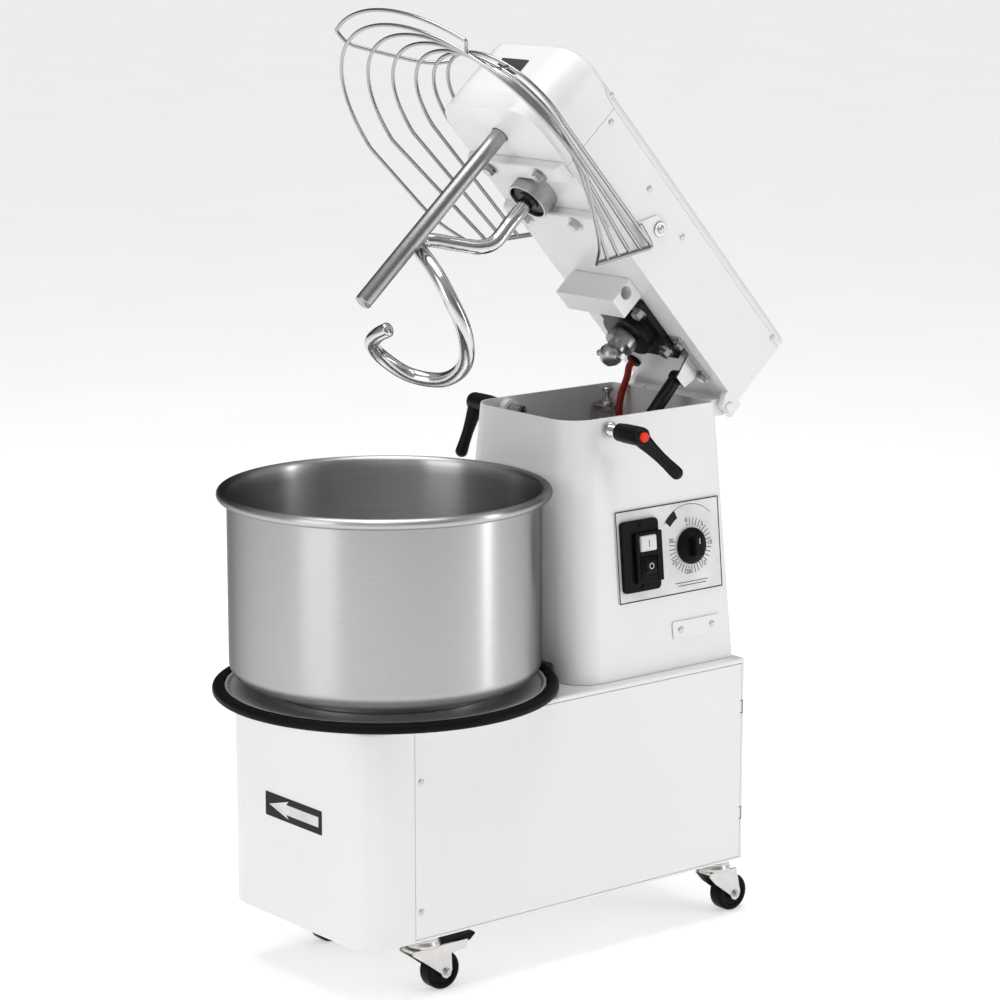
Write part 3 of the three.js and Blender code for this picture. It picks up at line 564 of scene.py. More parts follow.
def make_bowl():
    """Bowl with a rolled rim and a foot ring; the inside gets a brighter copy of the bowl steel, painted
    light for the light bouncing inside the bowl.
    """
    wall = 181.5
    sheet = 1.5
    heel = 21.0
    bottom = 351.5
    rim = 187.2
    tube = 6.2
    rim_z = 567.7
    foot = 138.5
    foot_low = 340.6
    outside = [(0, bottom), (foot - 3, bottom), (foot - 2.5, foot_low + 0.5), (foot - 2, foot_low),
               (foot - 0.5, foot_low), (foot, foot_low + 0.6), (foot, bottom - 1), (foot + 1, bottom)]
    outside += arc(heel, -88, 0, 16, (wall - heel, bottom + heel))
    outside += [(wall, rim_z - 12), (wall, rim_z - 7)]
    roll = arc(tube, -118, 165, 22, (rim, rim_z))
    inside = [(wall - sheet, rim_z - 4), (wall - sheet, rim_z - 14)]
    inside += list(reversed(arc(heel - sheet, -88, 0, 16, (wall - heel, bottom + heel))))
    inside += [(120, bottom + sheet), (0, bottom + sheet)]
    profile = outside + roll + inside
    centre = bowl_point(0, 0, 0)
    piece = turned("bowl_polished", profile, centre, VERTICAL, BOWL_STEEL, "bowl_set", "satin_steel",
                   160, 50)
    # Faces inside the bowl get the brighter copy of the steel: painted light.
    piece.data.materials.append(BOWL_INSIDE_PAINTED_LIGHT)
    for polygon in piece.data.polygons:
        outward = polygon.center - centre
        radius = math.hypot(outward.x, outward.y)
        facing_in = outward.x * polygon.normal.x + outward.y * polygon.normal.y < 0.2 * radius
        if radius < (wall - 0.4) * MM and polygon.center.z > (bottom + 1) * MM and facing_in:
            polygon.material_index = 1
    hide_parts("bowl")


def make_edge_trim():
    """Rounded rubber ring round the turntable."""
    inner = 187.6
    outer = 201.5
    low = 333.0
    high = 344.0
    profile = [(inner, low + 1), (inner + 1, low)] + arc(4.5, -90, 0, 6, (outer - 4.5, low + 4.5))
    profile += arc(4.5, 0, 90, 6, (outer - 4.5, high - 4.5)) + [(inner + 1.5, high), (inner, high - 1.5)]
    profile.append(profile[0])
    piece = turned("turntable_rubber_edge", profile, bowl_point(0, 0, 0), VERTICAL, RUBBER, "turntable_set",
                   "black_rubber", 160, 50)
    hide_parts("turntable_edge_trim")


# ---- Spiral hook and breaker bar -------------------------------------------------------------

# The spiral's axis forward of the hinge, its bar's radius, and its centre line from that axis.
SPIRAL_REACH = 357.0
HOOK_RADIUS = 8.9
HOOK_ROUTE = [(0, 0, -10.4), (0, 0, -45), (0, 0, -76), (-5, 9, -94), (-19, 26, -108), (-33, 45, -122),
              (-36, 56, -134), (-14, 66, -152), (26, 60, -172), (52, 36, -190), (62, -3, -206),
              (46, -42, -222), (8, -60, -238), (-32, -46, -251), (-46, -10, -259), (-36, 20, -263),
              (-18, 33, -258), (-4, 36, -250)]


def make_hook():
    """Bent spiral bar and its domed tip."""
    points = catmull([head_point(x, SPIRAL_REACH + f, u) for x, f, u in HOOK_ROUTE], 9)
    tip = points[-1]
    along = (points[-1] - points[-2]).normalized()
    shaft = rod("spiral_hook_bar", points, HOOK_RADIUS, CHROME, "spiral", "chromed_steel", 10)
    bulge = 4.2
    dome = [(0, bulge)]
    for angle in (75, 60, 45, 30, 15, 0):
        dome.append((HOOK_RADIUS * math.cos(math.radians(angle)), bulge * math.sin(math.radians(angle))))
    turned("spiral_hook_tip", dome, tip - along * 0.2 * MM, along, CHROME, "spiral", "chromed_steel",
           28, 60)
    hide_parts("spiral_hook")


def make_breaker_bar():
    """Fixed bar beside the spiral, with chamfered ends and a collar near its top."""
    reach = 445.0
    profile = [(0, -257), (7.5, -257), (9.3, -256), (10, -254.5), (10, 15.6), (17.5, 15.6), (17.5, 22),
               (10, 24), (10, 39), (9, 40), (0, 40)]
    piece = turned("breaker_bar_ground", profile, head_point(0, reach, 0), UP, GROUND_BAR, "head",
                   "turned_steel", 64, 40)
    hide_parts("breaker_bar")


# ---- Guard -----------------------------------------------------------------------------------

# Head-frame mm: centre of the hoops, then radius and height of each, outermost first.
GUARD_CENTRE = 449.0
HOOPS = [(198.6, -35.3), (170.6, -19.5), (144.8, -4.2), (121, 10.4), (105, 24), (94, 38)]
# Corners of the rod that gathers the right-hand ends of the hoops.
STRIP_FRONT = Vector((115, 306, -46))
STRIP_REAR = Vector((93.5, 243, 38))
STRIP_END = Vector((93.5, 276, 42))
WIRE = 2.25
GRAB_START = 56.5
GRAB_END = 123.9


def hoop_point(radius, height, degrees):
    """Point on a hoop in head-frame mm; hoops rise slightly towards the nose."""
    angle = math.radians(degrees)
    forward = GUARD_CENTRE + radius * math.sin(angle)
    return Vector((radius * math.cos(angle), forward, height + 0.09 * (forward - GUARD_CENTRE)))


def rounded_path(points, reach, steps=5):
    """Replaces each corner with a short curve that starts reach mm before it."""
    path = [points[0]]
    for before, corner, after in zip(points, points[1:], points[2:]):
        a = corner + (before - corner).normalized() * min(reach, (before - corner).length * 0.45)
        b = corner + (after - corner).normalized() * min(reach, (after - corner).length * 0.45)
        for i in range(steps + 1):
            t = i / steps
            path.append(a * (1 - t) ** 2 + corner * 2 * t * (1 - t) + b * t ** 2)
    path.append(points[-1])
    return path


def make_guard():
    """Wire cage of hoops, grab loop and two feet, with its pivot washers and screws."""
    made = []
    for k, (radius, height) in enumerate(HOOPS):
        arc_points = [hoop_point(radius, height, 180 * i / 60) for i in range(61)]
        foot = STRIP_FRONT.lerp(STRIP_REAR, k / (len(HOOPS) - 1))
        other = Vector((-foot.x, foot.y, foot.z))
        knee = [Vector((152, 343, -48))] if k == 0 else []
        other_knee = [Vector((-p.x, p.y, p.z)) for p in knee]
        outline = rounded_path([foot] + knee + [arc_points[0]], 25, 6)[:-1] + arc_points
        outline += list(reversed(rounded_path([other] + other_knee + [arc_points[-1]], 25, 6)[:-1]))
        path = [head_point(*p) for p in outline]
        made.append(rod(f"guard_hoop_{k}", path, WIRE, GUARD_CHROME, "guard", "chromed_steel", 4))
    grab = [hoop_point(217.7, -33, GRAB_START + (GRAB_END - GRAB_START) * i / 40) for i in range(41)]
    inward = [hoop_point(r, h, GRAB_START) for r, h in HOOPS]
    outward = [hoop_point(r, h, GRAB_END) for r, h in HOOPS]
    lift = Vector((0, 0, -0.4))
    route = [p + lift for p in reversed(inward)] + grab + [p + lift for p in outward]
    bent = [head_point(*p) for p in rounded_path(route, 9, 4)]
    made.append(rod("guard_grab", bent, WIRE, GUARD_CHROME, "guard", "chromed_steel", 4))
    for sign in (1, -1):
        points = [STRIP_FRONT, STRIP_REAR, STRIP_END]
        path = rounded_path([Vector((sign * p.x, p.y, p.z)) for p in points], 8)
        made.append(rod(f"guard_strip_{sign}", [head_point(*p) for p in path], 3.1, GUARD_CHROME, "guard",
                        "chromed_steel", 4))
    wires = join_pieces("guard_wire_cage", made)
    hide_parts("guard_wires")
    for sign, side in ((1, "right"), (-1, "left")):
        origin = head_point(sign * 89.8, 247.2, 62.2)
        turned(f"guard_pivot_washer_{side}", [(0, 0), (9.5, 0), (9.5, 1.4), (8.8, 1.9), (0, 1.9)], origin,
               SIDE * sign, TURNED, "guard", "zinc_steel", 40)
        fasteners(f"guard_pivot_screw_{side}", "guard", add_pan_head,
                  [(origin + SIDE * sign * 1.9 * MM, SIDE * sign, {"radius": 5.2, "height": 3.4})])


# ---- Column controls -------------------------------------------------------------------------


# Dial centre in mm on the wall, angle of its first mark and its sweep in degrees.
DIAL_Y = 372.5
DIAL_UP = 144.5
DIAL_START = 98.0
DIAL_SWEEP = 295.0
# Height of the keys' feet above the wall, clear of the plate by more than their travel.
KEY_FOOT = 10.2


def wall_matrix(y, up, out):
    """Plane on the right wall: X along the machine towards the rear, Y up the wall, Z out."""
    columns = Matrix((Vector((0, 1, 0)), WALL_UP, WALL_OUT)).transposed().to_4x4()
    return Matrix.Translation(wall_point(out, y, up)) @ columns


def text_mesh(name, words, size, matrix, material, body):
    """Thin raised figures, size in mm, centred on the matrix."""
    data = bpy.data.curves.new(name, "FONT")
    data.body = words
    data.size = size * MM
    data.extrude = 0.0001
    data.align_x = "CENTER"
    data.align_y = "CENTER"
    made = bpy.data.objects.new(name, data)
    bpy.context.scene.collection.objects.link(made)
    made.matrix_world = matrix
    bpy.context.view_layer.update()
    mesh = bpy.data.meshes.new_from_object(made)
    mesh.transform(matrix)
    bpy.data.objects.remove(made)
    return finish_object(name, mesh, material, body)


def make_label():
    """Thin printed frame, dial ticks and numbers on the control plate."""
    out = 2.05
    ink = 0.12
    bm = bmesh.new()
    base = wall_matrix(339, 144, out)
    for sign in (1, -1):
        prism(bm, strip(82, 0.7, 0, sign * 54.4), base, ink)
        prism(bm, strip(0.7, 54.5, sign * 81.3, 0), base, ink)
    dial = wall_matrix(DIAL_Y, DIAL_UP, out)
    for i in range(31):
        turn = dial @ Matrix.Rotation(math.radians(DIAL_START - DIAL_SWEEP * i / 30), 4, "Z")
        start = 24.5
        end = 27.5 if i % 5 == 0 else 34.0
        prism(bm, strip((end - start) / 2, 0.42, (start + end) / 2), turn, ink)
    sector = arc(40.0, 117, 139, 8) + list(reversed(arc(50.3, 117, 139, 8)))
    prism(bm, sector, dial, ink)
    line = arc(50.0, 47, 143, 40)
    outer = arc(50.6, 47, 143, 40)
    for i in range(40):
        prism(bm, [line[i], line[i + 1], outer[i + 1], outer[i]], dial, ink)
    for half_width, drop in ((26, -43), (22, -46.5)):
        prism(bm, strip(half_width, 0.4, 0, drop), dial, ink)
    from_bmesh("control_label_print", bm, INK_AND_SLOT_SHADE, "frame", "black_plastic", 0)
    numbers = []
    reach = 31.5 * MM
    for i in range(7):
        angle = math.radians(DIAL_START - DIAL_SWEEP * i / 6)
        spot = dial @ Matrix.Translation((reach * math.cos(angle), reach * math.sin(angle), 0.1 * MM))
        numbers.append(text_mesh(f"dial_number_{i}", str(5 * i), 7.6, spot, INK_AND_SLOT_SHADE, "frame"))
    join_pieces("dial_numbers", numbers)


def key_block(name, y0, y1, up0, up1, inner, outer, taper, material, body, slot, corner=1.5):
    """Rounded block on the wall between inner and outer mm, its face set in by taper from its foot."""
    bm = bmesh.new()
    half_w = (y1 - y0) / 2
    half_h = (up1 - up0) / 2
    foot = rounded_rectangle(half_w, half_h, corner, 5)
    face = rounded_rectangle(half_w - taper, half_h - taper, corner, 5)
    plane = wall_matrix((y0 + y1) / 2, (up0 + up1) / 2, 0)
    rings = []
    for outline, out in ((foot, inner), (foot, outer - max(taper, 1.0)), (face, outer)):
        rings.append([bm.verts.new(plane @ Vector((x * MM, y * MM, out * MM))) for x, y in outline])
    for low, high in zip(rings, rings[1:]):
        for i in range(len(low)):
            j = (i + 1) % len(low)
            bm.faces.new((low[i], low[j], high[j], high[i]))
    bm.faces.new(list(reversed(rings[0])))
    bm.faces.new(rings[-1])
    return from_bmesh(name, bm, material, body, slot, 25)


def make_switch():
    """Rounded switch plate with its bezel, the two keys with their marks, and the fixing screws."""
    plate = key_block("switch_plate", 261.4, 320, 101, 186.5, 2.6, 7.0, 0.8, BLACK, "frame",
                      "black_plastic", 6.0)
    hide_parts("switch_box")
    bezel = bmesh.new()
    plane = wall_matrix(299.5, 141.5, 6.5)
    half_w = 20.5
    half_h = 30.0
    bars = ((-half_w, -half_h, -14.9, half_h), (11.3, -half_h, half_w, half_h),
            (-14.9, 26.3, 11.3, half_h), (-14.9, 1.2, 11.3, 7.2), (-14.9, -half_h, 11.3, -21.2))
    for x0, y0, x1, y1 in bars:
        outline = strip((x1 - x0) / 2, (y1 - y0) / 2, (x0 + x1) / 2, (y0 + y1) / 2)
        prism(bezel, outline, plane, 5.5)
    surround = from_bmesh("switch_bezel", bezel, BLACK, "frame", "black_plastic", 30)
    bevel(surround, 0.7, 2)
    start = key_block("start_key_cap", 285.5, 310, 149, 167.5, KEY_FOOT, 14, 1.2, WHITE_KEY, "start_key",
                      "white_plastic")
    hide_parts("start_button")
    stop = key_block("stop_key_cap", 284, 309, 120.5, 142.5, KEY_FOOT, 17.5, 5.0, BLACK, "stop_key",
                     "black_plastic")
    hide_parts("stop_button")
    spots = []
    for up in (106.5, 181):
        spots.append((wall_point(7.05, 290.5, up), WALL_OUT, {"radius": 3.2, "height": 1.4}))
    fasteners("switch_box_screws", "frame", add_pan_head, spots, BLACK, "black_plastic")
    bar = bmesh.new()
    prism(bar, strip(0.5, 4.2), wall_matrix(297.7, 158.2, 14.05), 0.12)
    from_bmesh("start_key_mark", bar, INK_AND_SLOT_SHADE, "start_key", "black_plastic", 0)
    ring = bmesh.new()
    outer = arc(3.6, 0, 360, 28)[:-1]
    inner = arc(2.8, 0, 360, 28)[:-1]
    face = wall_matrix(296.5, 131.5, 17.55)
    for i in range(28):
        j = (i + 1) % 28
        prism(ring, [outer[i], outer[j], inner[j], inner[i]], face, 0.12)
    from_bmesh("stop_key_mark", ring, WHITE_KEY, "stop_key", "white_plastic", 0)


def make_timer_details():
    """Timer knob: finely ribbed skirt under a low dome, with a grip block and a pointer line."""
    bm = bmesh.new()
    matrix = aim(wall_point(2.8, DIAL_Y, DIAL_UP), WALL_OUT)
    outline = []
    for i in range(120):
        angle = 2 * math.pi * i / 120
        radius = 22.0 - (0.5 if i % 2 else 0.0)
        outline.append((radius * math.cos(angle), radius * math.sin(angle)))
    prism(bm, outline, matrix, 4.0)
    dome = [(21.4, 4.0)] + [(20.6 * math.cos(math.radians(a)), 4.0 + 4.6 * math.sin(math.radians(a)))
                            for a in range(8, 90, 9)] + [(0, 8.6)]
    spin(bm, dome, matrix, 96)
    skirt = from_bmesh("timer_knob_skirt", bm, BLACK, "timer", "black_plastic", 30)
    grip = bmesh.new()
    prism(grip, rounded_rectangle(7, 12, 2.5), wall_matrix(DIAL_Y, DIAL_UP, 10), 9.8)
    block = from_bmesh("timer_knob_grip", grip, BLACK, "timer", "black_plastic", 30)
    bevel(block, 1.4, 3)
    mark = bmesh.new()
    prism(mark, strip(0.5, 3.5, 0, 6.5), wall_matrix(DIAL_Y, DIAL_UP, 19.8), 0.1)
    from_bmesh("timer_knob_mark", mark, WHITE_KEY, "timer", "white_plastic", 0)
    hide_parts("timer_knob")


# Three thin dark strips round a tab cut into the sheet: painted shade for the gaps of the cut.
LATCH_OUTLINES = (strip(0.5, 8), strip(1.5, 0.5, -2, -7.5), strip(1.5, 0.5, -2, 7.5))


def make_wall_screws():
    """Screws of the access plate and of the base's side panels, and the panels' latch slots, drawn as thin
    dark strips of painted shade.
    """
    spots = []
    for y in (350, 400):
        spots.append((wall_point(2.05, y, 45.6), WALL_OUT, {"radius": 4.1, "height": 1.8}))
    fasteners("access_plate_screws", "frame", add_pan_head, spots)
    face = 139.35
    panel = []
    slots = bmesh.new()
    for sign in (1, -1):
        for z in (109.5, 262.5):
            panel.append((bowl_point(sign * face, -57, z), SIDE * sign, {"radius": 4.0, "height": 1.7}))
        for z in (133, 267):
            # Dark strips where the latch slots are cut: painted shade in the gaps.
            plane = aim(bowl_point(sign * face, 437.5, z), SIDE * sign)
            for outline in LATCH_OUTLINES:
                prism(slots, [(sign * u, v) for u, v in outline], plane, 0.15)
    fasteners("side_panel_screws", "frame", add_pan_head, panel)
    from_bmesh("side_panel_latch_slot_shade", slots, INK_AND_SLOT_SHADE, "frame", "black_plastic", 0)


def make_arrow_label():
    """Dark plate with a pale arrow outline on the front of the base."""
    facing = Matrix((SIDE, VERTICAL, Vector((0, -1, 0)))).transposed().to_4x4()
    matrix = Matrix.Translation(bowl_point(0, -133.75, 208.8)) @ facing
    plate = bmesh.new()
    prism(plate, rounded_rectangle(55, 14.3, 1.5, 3), matrix, 0.25)
    from_bmesh("arrow_label_plate", plate, INK_AND_SLOT_SHADE, "frame", "black_plastic", 0)
    mark = bmesh.new()
    outline = [(-47.5, 0), (-9.3, 10.7), (-14.2, 6), (48.5, 6), (48.5, -6), (-14.2, -6), (-9.3, -10.7)]
    lifted = matrix @ Matrix.Translation((0, 0, 0.27 * MM))
    prism(mark, outline, lifted, 0.12)
    from_bmesh("arrow_label_mark", mark, WHITE_KEY, "frame", "white_plastic", 0)


def make_head_rest():
    """Bracket with a threaded stop screw inside the column's mouth, under the closed head."""
    bm = bmesh.new()
    seat = Matrix.Translation(bowl_point(-83, 410, 612))
    prism(bm, rounded_rectangle(11, 16, 3, 4), seat, 2.0)
    upright = Matrix.Translation(bowl_point(-94, 410, 612)) @ Matrix.Rotation(math.radians(90), 4, "Y")
    prism(bm, rounded_rectangle(14, 16, 2, 3), upright @ Matrix.Translation((12 * MM, 0, 0)), 2.0)
    from_bmesh("head_rest_bracket", bm, ZINC, "frame", "zinc_steel", 30)
    screw = bmesh.new()
    axis = Matrix.Translation(bowl_point(-82, 410, 0))
    thread = [(0, 603)]
    for i in range(16):
        thread += [(3.9, 603.4 + 1.6 * i), (3.2, 604.2 + 1.6 * i)]
    thread += [(3.9, 629), (0, 629.2)]
    spin(screw, thread, axis, 28)
    spin(screw, [(0, 629.2), (6.5, 629.2), (7.2, 630), (7.2, 633.4), (6.2, 634.4), (0, 634.4)], axis, 32)
    from_bmesh("head_rest_screw", screw, BOLT_STEEL, "frame", "zinc_steel", 30)
    nuts = [(bowl_point(-82, 410, 614.2), VERTICAL, {"across": 12, "height": 5}),
            (bowl_point(-82, 410, 611.8), -VERTICAL, {"across": 12, "height": 5})]
    fasteners("head_rest_nuts", "frame", add_hex_bolt, nuts)


# ---- Head details ----------------------------------------------------------------------------


def make_head_details():
    """Casing screws, bolts under the head, the blank name plate and the cable's grommet."""
    screws = []
    for edge, forward, up in ((84.6, 415, 114.0), (86.65, 393.4, 92.8), (86.65, 292.8, 83.7),
                              (86.65, 212.5, 82.4), (86.65, 12.3, 104.5)):
        for sign in (1, -1):
            spot = head_point(sign * edge, forward, up)
            screws.append((spot, SIDE * sign, {"radius": 4.0, "height": 1.8}))
    fasteners("head_side_screws", "head", add_pan_head, screws)
    bolts = []
    for x in (-45, 45):
        for forward, turn in ((397, 10), (315, 25)):
            bolts.append((head_point(x, forward, -0.05), -UP, {"turn": turn, "height": 6.5}))
    fasteners("crossbar_bolts", "head", add_hex_bolt, bolts)
    flange = []
    for x in (-38, 38):
        for forward in (-33.5, 33.5):
            flange.append((head_point(x, 125 + forward, 2.9), -UP, {"turn": x}))
    fasteners("flange_bolts", "head", add_hex_bolt, flange)
    plate = bmesh.new()
    nose = HEAD_MATRIX @ Matrix.Translation(Vector((-3.5, -490.65, 77.6)) * MM)
    nose = nose @ Matrix.Rotation(math.radians(90), 4, "X")
    prism(plate, rounded_rectangle(24, 11.4, 1.0, 3), nose, 0.6)
    from_bmesh("blank_name_plate", plate, PLATE_GREY, "head", "black_metal", 0)
    grommet = [(4.9, 8.0), (8.5, 8.0), (9.5, 9.5), (9.5, 11.4), (4.9, 11.4), (4.9, 8.0)]
    turned("cable_grommet", grommet, head_point(-62, 46, 0), UP, RUBBER, "head", "black_rubber", 40)
    strut = []
    for forward in (42, 100):
        strut.append((head_point(64, forward, 8.4), -UP, {"across": 10, "height": 5, "turn": 15}))
    fasteners("strut_bracket_bolts", "head", add_hex_bolt, strut)


def make_cable():
    """Cable from the head's grommet down into the column, bending between the two."""
    across = -62
    top = head_point(across, 46, 11.4)
    route = [top, head_point(across, 46, 0)]
    route += [bowl_point(across, y, z) for y, z in ((424, 648), (414, 625), (411, 600), (410, 540))]
    cable = rod("head_cable_skin", catmull(route, 10), 4.4, RED_CABLE, None, "red_cable_skin", 6)
    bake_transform(cable)
    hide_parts("head_cable")


# ---- Levers ----------------------------------------------------------------------------------

LOCK_Y = 256.5
LOCK_Z = 623.5
# Tips of the lever grips, in mm from the bowl's axis.
LEVER_TIPS = {"right": (165, 309, 571), "left": (-162, 239, 555)}


def make_levers():
    """Clamping levers on both sides of the column, with their threaded pins, bushes and red buttons."""
    for side, sign in (("right", 1), ("left", -1)):
        body = f"lock_lever_{side}"
        root = bowl_point(sign * 115, LOCK_Y, LOCK_Z)
        hub = [(0, 0.2), (9.8, 0.2), (10.6, 1.0), (11.4, 12), (11.5, 30), (11.3, 40), (10.6, 42.6),
               (8.6, 44), (7.1, 44), (7.1, 40), (0, 40)]
        made = [turned(f"lever_hub_{side}", hub, root, SIDE * sign, LEVER_BLACK, body, "black_plastic",
                       48, 45)]
        start = bowl_point(sign * 149, LOCK_Y, LOCK_Z)
        axis = bowl_point(*LEVER_TIPS[side]) - start
        length = axis.length / MM
        grip = [(0, -2), (10.4, -1), (9.6, 10), (8.0, 24), (7.0, 38), (7.1, 52), (7.7, 62),
                (7.8, length - 7)]
        for angle in (20, 40, 60, 75):
            end = math.radians(angle)
            grip.append((7.8 * math.cos(end), length - 7 + 7 * math.sin(end)))
        grip.append((0, length))
        made.append(turned(f"lever_grip_{side}", grip, start, axis, LEVER_BLACK, body, "black_plastic",
                           40, 45))
        lever = join_pieces(f"lever_{side}", made)
        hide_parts(f"lock_handle_{side}")
        thread = [(0, 62), (7.0, 62.5), (7.0, 92)]
        for i in range(12):
            thread += [(7.0, 92.4 + 1.8 * i), (6.3, 93.3 + 1.8 * i)]
        thread += [(7.0, 114), (0, 114.4)]
        middle = bowl_point(0, LOCK_Y, LOCK_Z)
        pin = turned(f"lock_pin_thread_{side}", thread, middle, SIDE * sign, CHROME, f"lock_pin_{side}_set",
                     "chromed_steel", 32, 30)
        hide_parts(f"lock_pin_{side}")
        bush = [(7.5, 98), (9.6, 98), (10, 98.5), (10, 99.6), (8.6, 100.4), (7.5, 100.4), (7.5, 98)]
        turned(f"lock_bush_{side}", bush, middle, SIDE * sign, TURNED, "frame", "zinc_steel", 40)
        key = [(0, 0), (5.9, 0), (5.9, 9.0), (5.4, 9.7), (4.5, 10), (0, 10)]
        button = turned(f"lever_button_{side}", key, bowl_point(sign * 152, LOCK_Y, LOCK_Z), SIDE * sign, RED,
                        f"lock_key_{side}", "red_plastic", 40, 40)
        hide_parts(f"lock_button_{side}")


# ---- Castors ---------------------------------------------------------------------------------


AXLE_TRAIL = 24
AXLE_UP = 23


def make_castor(name, x, y):
    """Solid wheel with a raised hub and rim, and the nuts on both ends of its axle."""
    centre = bowl_point(x, y + AXLE_TRAIL, AXLE_UP)
    half = 10.0
    tread = 22.9
    profile = [(5, -half - 0.6), (8.4, -half - 0.6), (9, -half), (9.2, -half + 1.6), (15.5, -half + 1.6),
               (16.5, -half + 0.3), (19, -half)] + arc(4, -90, 0, 6, (tread - 4, -half + 4))
    profile += arc(4, 0, 90, 6, (tread - 4, half - 4))
    profile += [(19, half), (16.5, half - 0.3), (15.5, half - 1.6), (9.2, half - 1.6), (9, half),
                (8.4, half + 0.6), (5, half + 0.6), (5, -half - 0.6)]
    wheel = turned(f"castor_wheel_round_{name}", profile, centre, SIDE, WHEEL_BLACK, f"wheel_{name}",
                   "wheel_plastic")
    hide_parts(f"castor_wheel_{name}")
    for sign in (1, -1):
        side = "out" if sign > 0 else "in"
        spot = bowl_point(x + sign * 14.0, y + AXLE_TRAIL, AXLE_UP)
        fasteners(f"castor_axle_nut_{name}_{side}", f"castor_{name}", add_hex_bolt,
                  [(spot, SIDE * sign, {"across": 6.5, "height": 3.0, "turn": 12})])


def make_castors():
    """Dresses the four forks and adds the wheels and the swivel races above them."""
    race = [(0, 56.4), (19.3, 56.4), (20.4, 58), (20.4, 61), (18.8, 63.6), (18.8, 66.4), (20.2, 68),
            (20.2, 72), (19.4, 73.6), (0, 73.6)]
    for end, y in (("front", -31), ("rear", 423)):
        for side, x in (("right", 108), ("left", -108)):
            name = f"{end}_{side}"
            dress_node(f"castor_fork_{name}", ZINC, 0.6)
            make_castor(name, x, y)
            turned(f"castor_race_{name}", race, bowl_point(x, y, 0), VERTICAL, ZINC, "frame",
                   "zinc_steel", 56)


# ---- Scene -----------------------------------------------------------------------------------


CAMERA_AZIMUTH = 50.89
CAMERA_ELEVATION = 11.57
CAMERA_LENS = 121.34


def make_camera():
    """Long-lens view from the front right, slightly above."""
    data = bpy.data.cameras.new("camera")
    data.lens = CAMERA_LENS
    data.sensor_width = 36.0
    made = bpy.data.objects.new("camera", data)
    bpy.context.scene.collection.objects.link(made)
    made.rotation_euler = (math.radians(90 - CAMERA_ELEVATION), 0, math.radians(CAMERA_AZIMUTH))
    made.location = (3.02941, BOWL_AXIS.y - 2.29173, 1.33454)
    data.clip_end = 200
    bpy.context.scene.camera = made


def area_light(name, location, target, size, power):
    """White rectangular light that points at target."""
    data = bpy.data.lights.new(name, "AREA")
    data.shape = "RECTANGLE"
    data.size = size[0]
    data.size_y = size[1]
    data.energy = power
    made = bpy.data.objects.new(name, data)
    bpy.context.scene.collection.objects.link(made)
    made.location = location
    direction = Vector(target) - Vector(location)
    made.rotation_mode = "QUATERNION"
    made.rotation_quaternion = direction.to_track_quat("-Z", "Y")


def floor_sheet():
    """Pale floor that runs past every view, slightly self-lit like a sweep of white paper."""
    reach = 60.0
    bm = bmesh.new()
    corners = ((-1, -1), (1, -1), (1, 1), (-1, 1))
    bm.faces.new([bm.verts.new((sx * reach, sy * reach, -0.0005)) for sx, sy in corners])
    data = bpy.data.meshes.new("floor")
    bm.to_mesh(data)
    bm.free()
    floor = bpy.data.objects.new("floor", data)
    bpy.context.scene.collection.objects.link(floor)
    s = Shader("floor_paper").set(Roughness=0.9, Specular_IOR_Level=0.2, Emission_Strength=0.5)
    s.set(Emission_Color=(1, 1, 1, 1))
    paper = s.ramp(s.noise(2.5, 3), (0.86, 0.86, 0.865, 1), (0.9, 0.9, 0.9, 1))
    s.link(paper, s.principled.inputs["Base Color"])
    data.materials.append(s.material)


# Brightness of the studio walls by direction: fraction of a turn, then level.
STUDIO_WALLS = ((0.0, 0.10), (0.06, 0.16), (0.16, 0.62), (0.24, 0.72), (0.39, 0.6), (0.47, 0.3),
                (0.53, 0.34), (0.585, 1.1), (0.62, 1.1), (0.66, 0.42), (0.79, 0.16), (0.9, 0.1))
STUDIO_CEILING = 0.85


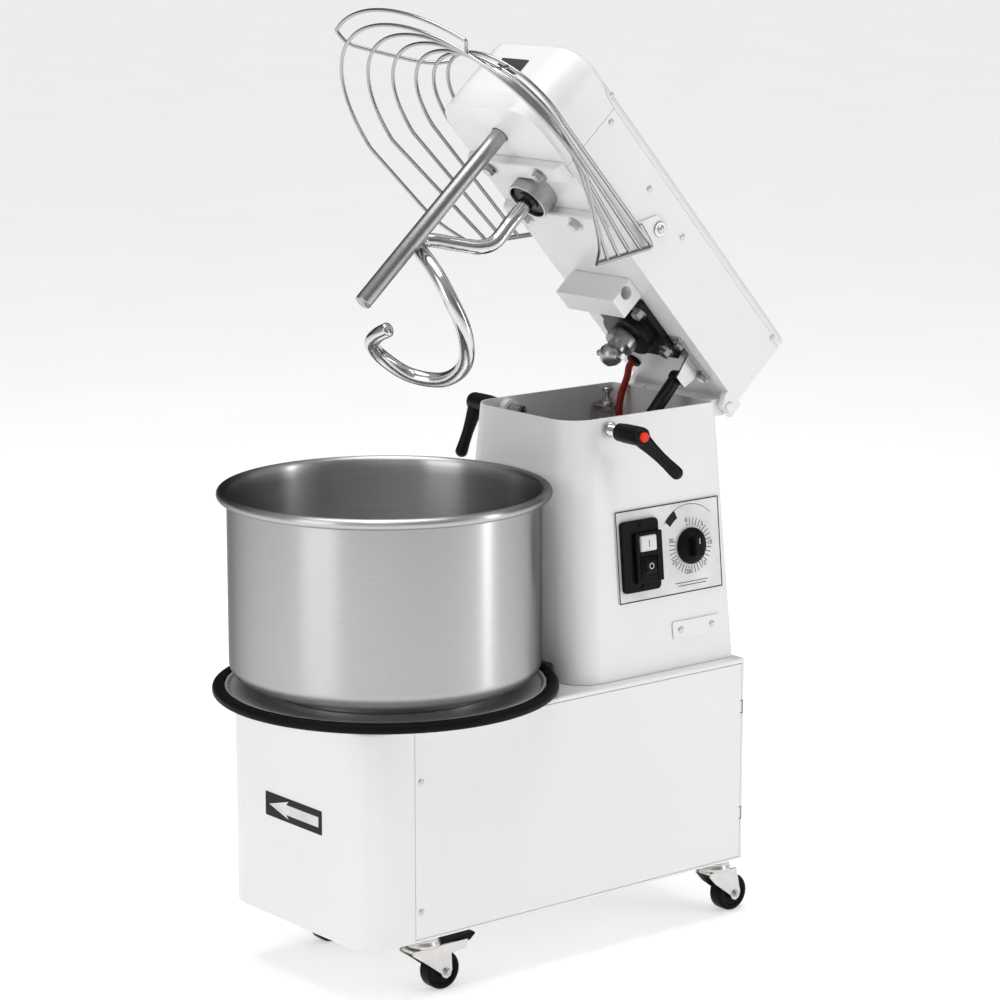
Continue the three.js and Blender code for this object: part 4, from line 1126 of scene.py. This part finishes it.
def studio_world():
    """Soft pale room whose walls change from bright screens to dark gaps, for the metal to reflect."""
    world = bpy.data.worlds.new("studio")
    bpy.context.scene.world = world
    world.use_nodes = True
    tree = world.node_tree
    background = tree.nodes["Background"]
    ceiling = (STUDIO_CEILING, STUDIO_CEILING, STUDIO_CEILING, 1)
    direction = tree.nodes.new("ShaderNodeTexCoord").outputs["Generated"]
    parts = tree.nodes.new("ShaderNodeSeparateXYZ")
    tree.links.new(direction, parts.inputs["Vector"])
    turn = tree.nodes.new("ShaderNodeMath")
    turn.operation = "ARCTAN2"
    tree.links.new(parts.outputs["Y"], turn.inputs[0])
    tree.links.new(parts.outputs["X"], turn.inputs[1])
    fraction = tree.nodes.new("ShaderNodeMapRange")
    fraction.inputs["From Min"].default_value = -math.pi
    fraction.inputs["From Max"].default_value = math.pi
    tree.links.new(turn.outputs["Value"], fraction.inputs["Value"])
    walls = tree.nodes.new("ShaderNodeValToRGB")
    stops = walls.color_ramp.elements
    while len(stops) < len(STUDIO_WALLS):
        stops.new(0.5)
    for stop, (place, level) in zip(stops, STUDIO_WALLS):
        stop.position = place
        stop.color = (level, level, level, 1)
    tree.links.new(fraction.outputs["Result"], walls.inputs["Fac"])
    height = tree.nodes.new("ShaderNodeMapRange")
    height.inputs["From Min"].default_value = 0.45
    height.inputs["From Max"].default_value = 0.85
    tree.links.new(parts.outputs["Z"], height.inputs["Value"])
    mix = tree.nodes.new("ShaderNodeMix")
    mix.data_type = "RGBA"
    tree.links.new(height.outputs["Result"], mix.inputs[0])
    tree.links.new(walls.outputs["Color"], mix.inputs[6])
    mix.inputs[7].default_value = ceiling
    tree.links.new(mix.outputs[2], background.inputs["Color"])
    background.inputs["Strength"].default_value = 0.6


def make_studio():
    """Floor, reflecting room and three soft lights."""
    floor_sheet()
    studio_world()
    target = (0, 0, 0.55)
    area_light("right_strip", (2.4, 1.8, 1.1), target, (0.35, 2.2), 13)
    area_light("front_softbox", (0.3, -3.1, 1.4), target, (1.5, 2.2), 18)
    area_light("top_light", (0.0, -0.3, 3.6), target, (2.4, 2.4), 72)
    bpy.context.scene.view_settings.view_transform = "Standard"


def build():
    """Builds every visual piece and the studio round the frame."""
    make_camera()
    dress_cad()
    make_bowl()
    make_edge_trim()
    make_hook()
    make_breaker_bar()
    make_guard()
    make_label()
    make_switch()
    make_timer_details()
    make_wall_screws()
    make_arrow_label()
    make_head_rest()
    make_head_details()
    make_cable()
    make_levers()
    make_castors()
    make_studio()


build()
